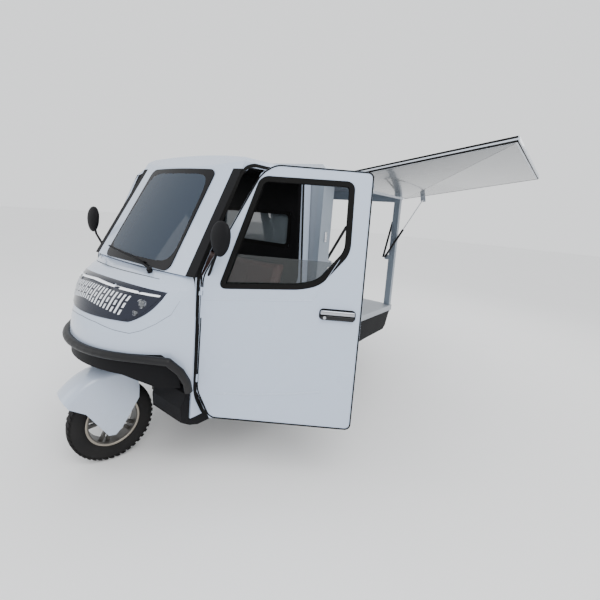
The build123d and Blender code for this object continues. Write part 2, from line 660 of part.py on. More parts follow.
with BuildPart() as footwell:
    slab((594, 604), (-ARCH_HALF - 8, ARCH_HALF + 8), (336, ARCH_Z + 8))
    slab((604, 722), (-ARCH_HALF - 8, ARCH_HALF + 8), (ARCH_Z - 2, ARCH_Z + 8))
    for side in (-1, 1):
        side_plate(((594, 331), (606, 331), (616, 320), (720, 320), (764, 360), (764, ARCH_Z - 4), (722, ARCH_Z - 4), (722, ARCH_Z + 8),
                    (594, ARCH_Z + 8)), sorted((side * ARCH_HALF, side * (ARCH_HALF + 8))))
        side_plate(((594, 336), (625, 313), (713, 314), (761, 331), (815, 365), (822, 440), (798, 510), (770, 524),
                    (770, 366), (594, 366)), sorted((side * (ARCH_HALF + 8), side * 508)))
    with BuildSketch(steer_plane(HEAD_FROM - 60)):
        Circle(STEM_R + HEAD_WALL + 16)
    extrude(amount=300, mode=Mode.SUBTRACT)
    slab((606, 730), (-36, 36), (ARCH_Z - 10, ARCH_Z + 20), Mode.SUBTRACT)
footwell.part.label = "footwell"
export_step(footwell.part, "parts/footwell.step")

# Nose, lamp unit and bumper
with BuildPart() as nose:
    add(NOSE_OUTER - NOSE_INNER)
    add(lamp_outline(1), mode=Mode.SUBTRACT)
    side_plate(((740, 500), (772, 535), (800, 590), (840, 665), (889, 715.8), (1200, 715.8), (1200, 500)),
               (-600, 600), Mode.SUBTRACT)
nose.part.label = "nose"
export_step(nose.part, "parts/nose.step")

lamp_shell = nose_solid(4) - nose_solid(4 - LAMP_T)
with BuildPart() as lamp_unit:
    add(lamp_shell)
    add(lamp_outline(0), mode=Mode.INTERSECT)
lamp_unit.part.label = "lamp_unit"
export_step(lamp_unit.part, "parts/lamp_unit.step")

with BuildPart() as valance:
    with BuildSketch(Plane.XY.offset(520)):
        with BuildLine():
            ThreePointArc((COWL_REAR_X + 2, -486), (1077.2, 0), (COWL_REAR_X + 2, 486))
            Line((COWL_REAR_X + 2, 486), (COWL_REAR_X + 2, 478))
            ThreePointArc((COWL_REAR_X + 2, 478), (1069.2, 0), (COWL_REAR_X + 2, -478))
            Line((COWL_REAR_X + 2, -478), (COWL_REAR_X + 2, -486))
        make_face()
    extrude(amount=200)
    side_plate(((800, 530), (812, 590), (850, 660), (896, 715.5), (1200, 715.5), (1200, 625), (1000, 600), (880, 535)),
               (-600, 600), Mode.INTERSECT)
valance.part.label = "valance"
export_step(valance.part, "parts/valance.step")

RAIL_ARC_R = 580
RAIL_ARC_X = 1098 - RAIL_ARC_R
RAIL_ARC_DEG = 32
RAIL_ARC_STEPS = 12
RAIL_SIDE = ((948, CAB_HALF - 115, RAIL_Z - 2), (884, CAB_HALF - 37, RAIL_Z - 8), (838, CAB_HALF - 1, 640),
             (806, CAB_HALF + 11, 580), (794, CAB_HALF + 13, 530))
RAIL_ARC = [radians(RAIL_ARC_DEG * (2 * step / RAIL_ARC_STEPS - 1)) for step in range(RAIL_ARC_STEPS + 1)]
RAIL_POINTS = ([(x, -y, z) for x, y, z in reversed(RAIL_SIDE)]
               + [(RAIL_ARC_X + RAIL_ARC_R * cos(turn), RAIL_ARC_R * sin(turn), RAIL_Z) for turn in RAIL_ARC]
               + list(RAIL_SIDE))
with BuildPart() as bumper_rail:
    for start, end in zip(RAIL_POINTS, RAIL_POINTS[1:]):
        rod(start, end, RAIL_R)
    with Locations(*RAIL_POINTS[1:-1]):
        Sphere(RAIL_R)
bumper_rail.part.label = "bumper_rail"
export_step(bumper_rail.part, "parts/bumper_rail.step")

# Doors, built closed and then swung open
DOOR_SKIN = cab_section(0) - cab_section(DOOR_T)
with BuildPart() as door_closed:
    add(DOOR_SKIN)
    add(door_outline(0), mode=Mode.INTERSECT)
    add(HALF_PLANE, mode=Mode.INTERSECT)
    add(window_outline(0), mode=Mode.SUBTRACT)
    for z in DOOR_KNUCKLES:
        rod((DOOR_HINGE_X, CAB_HALF, z - 1), (DOOR_HINGE_X, CAB_HALF, z + 41), KNUCKLE_R + 2, Mode.SUBTRACT)
        rod((DOOR_HINGE_X, CAB_HALF, z + 20.3), (DOOR_HINGE_X, CAB_HALF, z + 40), KNUCKLE_R)
        slab((DOOR_HINGE_X - 14, DOOR_HINGE_X), (CAB_HALF - 6, CAB_HALF), (z + 20.3, z + 40))
        rod((DOOR_HINGE_X, CAB_HALF, z), (DOOR_HINGE_X, CAB_HALF, z + 41), KNUCKLE_PIN_R + RUNNING, Mode.SUBTRACT)
with BuildPart() as glass_closed:
    add(cab_section(DOOR_T / 2 - 2.5) - cab_section(DOOR_T / 2 + 2.5))
    add(window_outline(FIT), mode=Mode.INTERSECT)
    add(HALF_PLANE, mode=Mode.INTERSECT)
    slab((-400, 900), (0, 700), (900, DOOR_GLASS_TOP_Z), Mode.INTERSECT)
with BuildPart() as handle_closed:
    slab((DOOR_HINGE_X - 778, DOOR_HINGE_X - 588), (CAB_HALF + 0.2, CAB_HALF + 24), (944, 988))
DOOR_PIECES = (
    # piece, built closed on the left
    ("door", door_closed),
    ("door_glass", glass_closed),
    ("door_handle", handle_closed),
)
LEFT_HINGE = Axis((DOOR_HINGE_X, CAB_HALF, 0), (0, 0, -1))
RIGHT_HINGE = Axis((DOOR_HINGE_X, -CAB_HALF, 0), (0, 0, 1))
for piece, closed in DOOR_PIECES:
    with BuildPart() as left:
        add(closed.part)
    left.part = left.part.rotate(LEFT_HINGE, LEFT_DOOR_OPEN_DEG)
    left.part.label = piece + "_left"
    export_step(left.part, "parts/" + piece + "_left.step")
    with BuildPart() as right:
        mirror(closed.part, about=Plane.XZ)
    right.part = right.part.rotate(RIGHT_HINGE, RIGHT_DOOR_OPEN_DEG)
    right.part.label = piece + "_right"
    export_step(right.part, "parts/" + piece + "_right.step")

# Wiper and mirrors
WIPER_BARS = (
    # start and end, each as across the glass, up it and out from it, then the radius
    ((235, -20, 18), (235, -8, 34), 14),
    ((235, -6, 28), (70, 24, 26), 6),
    ((70, 24, 26), (-60, 46, 16), 5),
    ((130, 22, 12), (-300, 66, 11.6), 5),
)
with BuildPart() as wiper:
    for start, end, radius in WIPER_BARS:
        rod(tuple(SCREEN_PLANE.from_local_coords(start)), tuple(SCREEN_PLANE.from_local_coords(end)), radius)
    rod((848, 235, 1088.7), (848, 235, 1098), 11)
wiper.part.label = "wiper"
export_step(wiper.part, "parts/wiper.step")

with BuildPart() as mirrors:
    for side in (-1, 1):
        with BuildSketch(Plane.YZ.offset(735)):
            with Locations((side * 643, 1298)):
                RectangleRounded(120, 180, 50)
        extrude(amount=44)
        rod((722, side * 506.4, 1190), (722, side * 520, 1190), 14)
        rod((724, side * 514, 1192), (757, side * 604, 1240), 8)
mirrors.part.label = "mirrors"
export_step(mirrors.part, "parts/mirrors.step")

# Inside the cabin
with BuildPart() as dashboard:
    side_plate(((725.7, 860), (725.7, 1060), (700, 1070), (650, 985), (640, 880)), (-450, 450))
dashboard.part.label = "dashboard"
export_step(dashboard.part, "parts/dashboard.step")

with BuildPart() as seat_box:
    slab((-20, 330), (-400, 400), (SILL_Z, 620))
    slab((0, 310), (-380, 380), (360, 600), Mode.SUBTRACT)
seat_box.part.label = "seat_box"
export_step(seat_box.part, "parts/seat_box.step")

with BuildPart() as seat_cushion:
    slab((-10, 380), (-410, 410), (620.3, 710))
    fillet(seat_cushion.edges().filter_by(Axis.Y), 24)
seat_cushion.part.label = "seat_cushion"
export_step(seat_cushion.part, "parts/seat_cushion.step")

with BuildPart() as seat_back:
    side_plate(((30, 710.3), (110, 710.3), (20, 1115), (-60, 1115)), (-410, 410))
    fillet(seat_back.edges().filter_by(Axis.Y), 24)
seat_back.part.label = "seat_back"
export_step(seat_back.part, "parts/seat_back.step")

# Cargo box
with BuildPart() as tray:
    slab((BOX_REAR_X, BOX_FRONT_X), (-TRAY_HALF, TRAY_HALF), (TRAY_Z - TRAY_T, TRAY_Z))
    slab((BOX_REAR_X, BOX_FRONT_X), (-TRAY_HALF, TRAY_HALF), (TRAY_Z - TRAY_EDGE_H, TRAY_Z - TRAY_T))
    slab((BOX_REAR_X + TRAY_EDGE_T, BOX_FRONT_X - TRAY_EDGE_T), (-TRAY_HALF + TRAY_EDGE_T, TRAY_HALF - TRAY_EDGE_T),
         (TRAY_Z - TRAY_EDGE_H - 1, TRAY_Z - TRAY_T), Mode.SUBTRACT)
    for rib in range(TRAY_RIBS):
        x = BOX_REAR_X + 49 + rib * (BOX_FRONT_X - BOX_REAR_X - 98 - RAIL_B) / (TRAY_RIBS - 1)
        slab((x, x + RAIL_B), (-TRAY_HALF + 5, TRAY_HALF - 5), (TRAY_Z - TRAY_EDGE_H, TRAY_Z - TRAY_T))
tray.part.label = "tray"
export_step(tray.part, "parts/tray.step")

# The frame's bars are butted, each a solid of its own
PIN_R = 4
LUG_T = 6
LUG_HALF = 22
REAR_BEAM_H = 53
with BuildPart() as box_frame:
    for side in (-1, 1):
        slab((BOX_REAR_X, BOX_REAR_X + POST_X), sorted((side * (FRAME_HALF - POST_Y), side * FRAME_HALF)),
             (TRAY_Z + SEAM, TOP_RAIL_LOW_Z - SEAM))
        slab((BOX_FRONT_X - FRONT_POST_X, BOX_FRONT_X), sorted((side * (FRAME_HALF - RAIL_B), side * FRAME_HALF)),
             (TRAY_Z + SEAM, TOP_RAIL_LOW_Z - SEAM))
        slab((BOX_REAR_X, BOX_FRONT_X), sorted((side * (FRAME_HALF - RAIL_B), side * FRAME_HALF)),
             (TOP_RAIL_LOW_Z, TOP_RAIL_LOW_Z + TOP_RAIL_T))
        for x, post_x, post_y in ((STRUT_REAR_X, BOX_REAR_X + POST_X, FRAME_HALF - POST_Y),
                                  (STRUT_FRONT_X, BOX_FRONT_X - FRONT_POST_X, FRAME_HALF - RAIL_B)):
            lug = (x - STRUT_EYE_OFF - LUG_T, x - STRUT_EYE_OFF)
            foot = (post_x - RAIL_B / 2, lug[1]) if x == STRUT_REAR_X else (lug[0], post_x + RAIL_B / 2)
            slab(lug, sorted((side * (STRUT_PIN_Y - LUG_HALF / 2), side * (post_y - SEAM))),
                 (STRUT_PIN_Z - LUG_HALF, STRUT_PIN_Z + LUG_HALF))
            slab(foot, sorted((side * (post_y - SEAM - LUG_T), side * (post_y - SEAM))),
                 (STRUT_PIN_Z - LUG_HALF, STRUT_PIN_Z + LUG_HALF))
            rod((x - STRUT_EYE_OFF - LUG_T, side * STRUT_PIN_Y, STRUT_PIN_Z), (x + 5, side * STRUT_PIN_Y, STRUT_PIN_Z), PIN_R)
        rod((GATE_PIN_X, side * (FRAME_HALF - POST_Y - SEAM), GATE_PIN_Z), (GATE_PIN_X, side * (GATE_PIN_Y - 14), GATE_PIN_Z), PIN_R)
    slab((BOX_REAR_X, BOX_REAR_X + POST_X), (-FRAME_HALF + POST_Y + SEAM, FRAME_HALF - POST_Y - SEAM),
         (TOP_RAIL_LOW_Z - REAR_BEAM_H, TOP_RAIL_LOW_Z - SEAM))
    slab((BOX_REAR_X, BOX_REAR_X + POST_X), (-FRAME_HALF + RAIL_B + SEAM, FRAME_HALF - RAIL_B - SEAM),
         (TOP_RAIL_LOW_Z, TOP_RAIL_LOW_Z + TOP_RAIL_T))
box_frame.part.label = "box_frame"
export_step(box_frame.part, "parts/box_frame.step")

with BuildPart() as box_front_wall:
    slab((BOX_FRONT_X - 14, BOX_FRONT_X - 2), (-FRAME_HALF + RAIL_B + FIT, FRAME_HALF - RAIL_B - FIT),
         (TRAY_Z + SEAM, TOP_RAIL_LOW_Z + TOP_RAIL_T - 1))
box_front_wall.part.label = "box_front_wall"
export_step(box_front_wall.part, "parts/box_front_wall.step")

ROOF_LOW_Z = TOP_RAIL_LOW_Z + TOP_RAIL_T + 0.2
with BuildPart() as box_roof:
    outer = ((FRAME_HALF + FIT, ROOF_LOW_Z), (FRAME_HALF + FIT, 1676), (FRAME_HALF + 10, 1676),
             (FRAME_HALF + 10, 1762), (FRAME_HALF - 28, 1796))
    hollow = ((FRAME_HALF - 22, ROOF_LOW_Z - 1), (FRAME_HALF - 22, 1752), (FRAME_HALF - 42, 1768))
    front_plate((*outer, (0, BOX_TOP_Z), *[(-y, z) for y, z in reversed(outer)]), (BOX_REAR_X, BOX_FRONT_X))
    front_plate((*hollow, (0, BOX_TOP_Z - BOX_ROOF_T), *[(-y, z) for y, z in reversed(hollow)]),
                (BOX_REAR_X + 20, BOX_FRONT_X - 20), Mode.SUBTRACT)
box_roof.part.label = "box_roof"
export_step(box_roof.part, "parts/box_roof.step")

# Side panels and tailgate, built hanging closed and then lifted
PANEL_IN_Y = TRAY_HALF + 5
PANEL_LOW_Z = HINGE_Z - 7 - PANEL_LENGTH
with BuildPart() as panel_closed:
    slab((BOX_REAR_X, BOX_FRONT_X), (PANEL_IN_Y, PANEL_IN_Y + PANEL_T), (PANEL_LOW_Z, HINGE_Z - 7))
    rod((BOX_REAR_X + 60, HINGE_Y, HINGE_Z), (BOX_FRONT_X - 60, HINGE_Y, HINGE_Z), HINGE_R)
    slab((BOX_REAR_X + 60, BOX_FRONT_X - 60), (HINGE_Y, HINGE_Y + 4), (HINGE_Z - 12, HINGE_Z))
    for x in (STRUT_REAR_X, STRUT_FRONT_X):
        slab((x - STRUT_EYE_OFF - 3, x - STRUT_EYE_OFF + 3), (HINGE_Y - STRUT_EYE_IN - 12, PANEL_IN_Y + 1),
             (HINGE_Z - STRUT_EYE_DOWN - 22, HINGE_Z - STRUT_EYE_DOWN + 22))
        rod((x - STRUT_EYE_OFF, HINGE_Y - STRUT_EYE_IN, HINGE_Z - STRUT_EYE_DOWN),
            (x - STRUT_BALL_R - FIT, HINGE_Y - STRUT_EYE_IN, HINGE_Z - STRUT_EYE_DOWN), PIN_R)
LEFT_PANEL_HINGE = Axis((0, HINGE_Y, HINGE_Z), (1, 0, 0))
with BuildPart() as side_panel_left:
    add(panel_closed.part)
side_panel_left.part = side_panel_left.part.rotate(LEFT_PANEL_HINGE, PANEL_OPEN_DEG)
side_panel_left.part.label = "side_panel_left"
export_step(side_panel_left.part, "parts/side_panel_left.step")
with BuildPart() as side_panel_right:
    mirror(panel_closed.part, about=Plane.XZ)
side_panel_right.part.label = "side_panel_right"
export_step(side_panel_right.part, "parts/side_panel_right.step")

GATE_IN_X = BOX_REAR_X - 5
with BuildPart() as tailgate:
    slab((GATE_IN_X - PANEL_T, GATE_IN_X), (-TRAY_HALF, TRAY_HALF), (TRAY_Z + GATE_LIFT, GATE_HINGE_Z - 7))
    rod((TAILGATE_HINGE_X, -TRAY_HALF + 60, GATE_HINGE_Z), (TAILGATE_HINGE_X, TRAY_HALF - 60, GATE_HINGE_Z), HINGE_R)
    slab((TAILGATE_HINGE_X - 4, TAILGATE_HINGE_X), (-TRAY_HALF + 60, TRAY_HALF - 60), (GATE_HINGE_Z - 12, GATE_HINGE_Z))
    for side in (-1, 1):
        slab((GATE_IN_X - 1, TAILGATE_HINGE_X + STRUT_EYE_IN + 12), sorted((side * (GATE_PIN_Y + 18), side * (GATE_PIN_Y + 24))),
             (GATE_HINGE_Z - STRUT_EYE_DOWN - 22, GATE_HINGE_Z - STRUT_EYE_DOWN + 22))
        rod((TAILGATE_HINGE_X + STRUT_EYE_IN, side * (GATE_PIN_Y + 20), GATE_HINGE_Z - STRUT_EYE_DOWN),
            (TAILGATE_HINGE_X + STRUT_EYE_IN, side * (GATE_PIN_Y + STRUT_BALL_R + FIT),
             GATE_HINGE_Z - STRUT_EYE_DOWN), PIN_R)
GATE_HINGE = Axis((TAILGATE_HINGE_X, 0, GATE_HINGE_Z), (0, 1, 0))
tailgate.part = tailgate.part.rotate(GATE_HINGE, TAILGATE_OPEN_DEG)
tailgate.part.label = "tailgate"
export_step(tailgate.part, "parts/tailgate.step")


def strut_tube(pin, eye, across, closed):
    """A strut's tube with the eye at its lower pin, inside the open block of work."""
    reach = (eye - pin).normalized()
    rod(tuple(pin + reach * 7), tuple(pin + reach * (closed - STRUT_TUBE_SPARE)), STRUT_TUBE_R)
    with Locations(tuple(pin)):
        Sphere(STRUT_EYE_R)
    rod(tuple(pin - across * 20), tuple(pin + across * 20), PIN_R + RUNNING, Mode.SUBTRACT)
    rod(tuple(pin + reach * 18), tuple(pin + reach * (closed - STRUT_TUBE_SPARE)), STRUT_ROD_R + 1, Mode.SUBTRACT)


def strut_rod(pin, eye, closed):
    """A strut's rod with the ball that its panel's pin meets, inside the open block of work."""
    reach = (eye - pin).normalized()
    rod(tuple(eye - reach * (closed - STRUT_ROD_SPARE)), tuple(eye), STRUT_ROD_R)
    with Locations(tuple(eye)):
        Sphere(STRUT_BALL_R)


def turned(axis, turn, point):
    """Where a point of a closed panel goes when the panel is opened."""
    return Vertex(*point).rotate(axis, turn).center()


left_eye = turned(LEFT_PANEL_HINGE, PANEL_OPEN_DEG, (0, HINGE_Y - STRUT_EYE_IN, HINGE_Z - STRUT_EYE_DOWN))
right_eye = Vector(0, -HINGE_Y + STRUT_EYE_IN, HINGE_Z - STRUT_EYE_DOWN)
gate_eye = turned(GATE_HINGE, TAILGATE_OPEN_DEG, (TAILGATE_HINGE_X + STRUT_EYE_IN, 0, GATE_HINGE_Z - STRUT_EYE_DOWN))
SIDE_CLOSED = hypot(HINGE_Y - STRUT_EYE_IN - STRUT_PIN_Y, HINGE_Z - STRUT_EYE_DOWN - STRUT_PIN_Z)
GATE_CLOSED = hypot(TAILGATE_HINGE_X + STRUT_EYE_IN - GATE_PIN_X, GATE_HINGE_Z - STRUT_EYE_DOWN - GATE_PIN_Z)
STRUTS = (
    # whose struts, along their pins, closed length, each lower pin and upper eye
    ("side_left", Vector(1, 0, 0), SIDE_CLOSED,
     [(Vector(x, STRUT_PIN_Y, STRUT_PIN_Z), Vector(x, left_eye.Y, left_eye.Z)) for x in (STRUT_REAR_X, STRUT_FRONT_X)]),
    ("side_right", Vector(1, 0, 0), SIDE_CLOSED,
     [(Vector(x, -STRUT_PIN_Y, STRUT_PIN_Z), Vector(x, right_eye.Y, right_eye.Z))
      for x in (STRUT_REAR_X, STRUT_FRONT_X)]),
    ("tailgate", Vector(0, 1, 0), GATE_CLOSED,
     [(Vector(GATE_PIN_X, side * GATE_PIN_Y, GATE_PIN_Z), Vector(gate_eye.X, side * GATE_PIN_Y, gate_eye.Z))
      for side in (-1, 1)]),
)
for place, across, closed, ends in STRUTS:
    with BuildPart() as strut_tubes:
        for pin, eye in ends:
            strut_tube(pin, eye, across, closed)
    with BuildPart() as strut_rods:
        for pin, eye in ends:
            strut_rod(pin, eye, closed)
    strut_tubes.part.label = "strut_tubes_" + place
    strut_rods.part.label = "strut_rods_" + place
    export_step(strut_tubes.part, "parts/strut_tubes_" + place + ".step")
    export_step(strut_rods.part, "parts/strut_rods_" + place + ".step")

# Skirts, lamps and plate
SKIRT_TOP = TRAY_Z - TRAY_EDGE_H - FIT
with BuildPart() as skirts:
    for side in (-1, 1):
        side_plate(((BOX_REAR_X + 19, SKIRT_TOP), (BOX_REAR_X + 43, 559), (BOX_REAR_X + 104, 440),
                    (BOX_REAR_X + 151, 409), (REAR_AXLE_X - 107, 401), (REAR_AXLE_X - 27, 397),
                    (BOX_FRONT_X - 240, 397), (BOX_FRONT_X - 140, 440), (BOX_FRONT_X - 5, 470),
                    (BOX_FRONT_X - 5, SKIRT_TOP)), sorted((side * (TRAY_HALF - 13), side * (TRAY_HALF - 5))))
skirts.part.label = "skirts"
export_step(skirts.part, "parts/skirts.step")

with BuildPart() as tail_lamps:
    for side in (-1, 1):
        slab((BOX_REAR_X - 14, BOX_REAR_X - 0.2), sorted((side * 430, side * 560)), (582, 622))
tail_lamps.part.label = "tail_lamps"
export_step(tail_lamps.part, "parts/tail_lamps.step")

with BuildPart() as plate:
    slab((BOX_REAR_X - 8, BOX_REAR_X - 4), (-110, 110), (480, 620))
    slab((BOX_REAR_X - 4, BOX_REAR_X - 0.2), (-60, 60), (585, 615))
plate.part.label = "plate"
export_step(plate.part, "parts/plate.step")
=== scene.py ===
"""Looks of the electric cargo tricycle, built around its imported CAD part."""

import json
import logging
import math
from dataclasses import dataclass, field
from enum import Enum
from typing import Callable, Optional, Sequence

import bmesh
import bpy
from mathutils import Matrix, Vector
from mathutils.bvhtree import BVHTree

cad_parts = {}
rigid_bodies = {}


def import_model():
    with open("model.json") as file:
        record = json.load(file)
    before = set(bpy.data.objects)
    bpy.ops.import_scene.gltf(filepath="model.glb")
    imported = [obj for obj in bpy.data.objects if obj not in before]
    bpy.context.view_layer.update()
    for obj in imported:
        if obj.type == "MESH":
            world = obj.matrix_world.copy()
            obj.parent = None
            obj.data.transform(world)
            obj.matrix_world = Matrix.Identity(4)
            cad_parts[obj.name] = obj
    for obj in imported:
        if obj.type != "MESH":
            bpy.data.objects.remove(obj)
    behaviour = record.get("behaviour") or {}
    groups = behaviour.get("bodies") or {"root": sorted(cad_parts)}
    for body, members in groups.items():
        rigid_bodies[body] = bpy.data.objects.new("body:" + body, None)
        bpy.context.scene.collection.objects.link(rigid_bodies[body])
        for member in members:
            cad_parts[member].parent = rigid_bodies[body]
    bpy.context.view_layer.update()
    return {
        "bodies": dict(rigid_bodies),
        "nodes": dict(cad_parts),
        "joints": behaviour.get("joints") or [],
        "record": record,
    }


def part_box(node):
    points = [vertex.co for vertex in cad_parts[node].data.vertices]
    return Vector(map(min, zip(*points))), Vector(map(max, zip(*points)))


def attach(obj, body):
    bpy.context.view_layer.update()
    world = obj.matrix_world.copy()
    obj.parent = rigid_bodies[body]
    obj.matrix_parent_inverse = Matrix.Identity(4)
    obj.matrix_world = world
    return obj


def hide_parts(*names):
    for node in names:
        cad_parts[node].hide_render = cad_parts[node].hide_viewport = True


LOG = logging.getLogger("tricycle")
Colour = tuple[float, float, float]
Point = tuple[float, float, float]


class Side(Enum):
    """The two sides of the vehicle, by the sign of y."""

    LEFT = 1
    RIGHT = -1


class Wire:
    """One output of a shader node, with arithmetic that adds Math nodes."""

    def __init__(self, tree: "Tree", socket: bpy.types.NodeSocket) -> None:
        """Keep the socket and the tree it belongs to."""
        self.tree = tree
        self.socket = socket

    def _math(self, operation: str, first: object, second: object) -> "Wire":
        """Add one Math node.

        Args:
            operation: the Math node's operation.
            first: its first value or wire.
            second: its second value or wire.

        Returns:
            The node's output.
        """
        return self.tree.node("ShaderNodeMath", {"operation": operation}, {0: first, 1: second})

    def __add__(self, other: object) -> "Wire":
        """This plus the other."""
        return self._math("ADD", self, other)

    def __radd__(self, other: object) -> "Wire":
        """The other plus this."""
        return self._math("ADD", other, self)

    def __sub__(self, other: object) -> "Wire":
        """This less the other."""
        return self._math("SUBTRACT", self, other)

    def __rsub__(self, other: object) -> "Wire":
        """The other less this."""
        return self._math("SUBTRACT", other, self)

    def __mul__(self, other: object) -> "Wire":
        """This times the other."""
        return self._math("MULTIPLY", self, other)

    def __rmul__(self, other: object) -> "Wire":
        """The other times this."""
        return self._math("MULTIPLY", other, self)

    def __truediv__(self, other: object) -> "Wire":
        """This over the other."""
        return self._math("DIVIDE", self, other)

    def __pow__(self, other: object) -> "Wire":
        """This to the power of the other."""
        return self._math("POWER", self, other)

    def above(self, level: object) -> "Wire":
        """One where this is more than a level, else nothing."""
        return self._math("GREATER_THAN", self, level)

    def least(self, other: object) -> "Wire":
        """The smaller of this and the other."""
        return self._math("MINIMUM", self, other)

    def most(self, other: object) -> "Wire":
        """The larger of this and the other."""
        return self._math("MAXIMUM", self, other)

    def size(self) -> "Wire":
        """This without its sign."""
        return self._math("ABSOLUTE", self, 0.0)


class Tree:
    """A material's node tree around one Principled shader."""

    def __init__(self, name: str) -> None:
        """Start a material with this name.

        Args:
            name: the material's name.
        """
        self.material = bpy.data.materials.new(name)
        self.material.use_nodes = True
        self.nodes = self.material.node_tree.nodes
        self.links = self.material.node_tree.links
        self.shader = self.nodes["Principled BSDF"]

    def node(self, kind: str, settings: Optional[dict] = None, inputs: Optional[dict] = None,
             output: object = 0) -> Wire:
        """Add a node, with its settings made before its sockets.

        Args:
            kind: the node's type.
            settings: attributes of the node; a ramp's stops go under "stops".
            inputs: a value or a wire for each socket, by name or number.
            output: which output to return, by name or number.

        Returns:
            That output.
        """
        node = self.nodes.new(kind)
        for key, value in (settings or {}).items():
            if key == "stops":
                ramp = node.color_ramp
                for index, (place, colour) in enumerate(value):
                    stop = ramp.elements[index] if index < 2 else ramp.elements.new(place)
                    stop.position = place
                    stop.color = (*colour, 1.0)
            else:
                setattr(node, key, value)
        for key, value in (inputs or {}).items():
            self.feed(node.inputs[key], value)
        return Wire(self, node.outputs[output])

    def feed(self, socket: bpy.types.NodeSocket, value: object) -> None:
        """Link a wire to a socket, or set the socket's own value.

        Args:
            socket: the input.
            value: a wire, a number or a colour.
        """
        if isinstance(value, Wire):
            self.links.new(value.socket, socket)
        elif isinstance(value, tuple) and len(value) == 3 and socket.type == "RGBA":
            socket.default_value = (*value, 1.0)
        else:
            socket.default_value = value

    def place(self) -> Wire:
        """The point being shaded, in the vehicle's frame."""
        return self.node("ShaderNodeTexCoord", output="Object")

    def axis(self, name: str, where: Optional[Wire] = None) -> Wire:
        """One coordinate of the point being shaded, or of another point."""
        return self.node("ShaderNodeSeparateXYZ", inputs={0: where or self.place()}, output=name)

    def noise(self, scale: float, detail: float = 3.0, stretch: Point = (1, 1, 1)) -> Wire:
        """Noise over the surface.

        Args:
            scale: how fine it is, per metre.
            detail: how many finer layers it has.
            stretch: its scale along each axis.

        Returns:
            A value about a half.
        """
        where = self.node("ShaderNodeMapping", inputs={"Vector": self.place(), "Scale": stretch})
        return self.node("ShaderNodeTexNoise", inputs={"Vector": where, "Scale": scale, "Detail": detail})

    def blend(self, amount: object, first: object, second: object) -> Wire:
        """Mix two colours.

        Args:
            amount: how much of the second, a number or a wire.
            first: the colour at nothing.
            second: the colour at one.

        Returns:
            The mixed colour.
        """
        node = self.nodes.new("ShaderNodeMix")
        node.data_type = "RGBA"
        self.feed(node.inputs[0], amount)
        self.feed(node.inputs[6], first)
        self.feed(node.inputs[7], second)
        return Wire(self, node.outputs[2])

    def relief(self, height: Wire, depth: float, strength: float = 1.0) -> Wire:
        """A normal from a height.

        Args:
            height: the height, from nothing to one.
            depth: how many metres one stands for.
            strength: how much of it shows.

        Returns:
            The normal.
        """
        return self.node("ShaderNodeBump", inputs={"Height": height, "Distance": depth, "Strength": strength})

    def finish(self, **sockets: object) -> bpy.types.Material:
        """Set the shader's sockets, named with underscores for spaces.

        Args:
            **sockets: the values and wires.

        Returns:
            The finished material.
        """
        for key, value in sockets.items():
            self.feed(self.shader.inputs[key.replace("_", " ")], value)
        return self.material


@dataclass(frozen=True)
class Paint:
    """Sprayed gloss paint with a faint orange peel and road dust low down."""

    name: str
    colour: Colour
    roughness: float = 0.22
    coat: float = 0.6
    dust: float = 0.25
    dust_top: float = 0.75
    shine: float = 0.5

    def material(self) -> bpy.types.Material:
        """The paint as a material."""
        tree = Tree(self.name)
        cloud = tree.noise(2.2, 4.0)
        speck = tree.noise(60.0, 6.0)
        low = 1.0 - tree.axis("Z") / self.dust_top
        low = tree.node("ShaderNodeClamp", inputs={"Value": low})
        film = low * low * speck * (2.0 * self.dust)
        tone = tree.blend(cloud * 0.16, self.colour, tuple(0.86 * part for part in self.colour))
        tone = tree.blend(film, tone, (0.30, 0.27, 0.23))
        peel = tree.noise(420.0, 2.0)
        return tree.finish(Base_Color=tone, Roughness=self.roughness + cloud * 0.10 + film * 0.6,
                           Coat_Weight=self.coat, Coat_Roughness=0.06, IOR=1.5, Specular_IOR_Level=self.shine,
                           Normal=tree.relief(peel, 0.0006, 0.06))


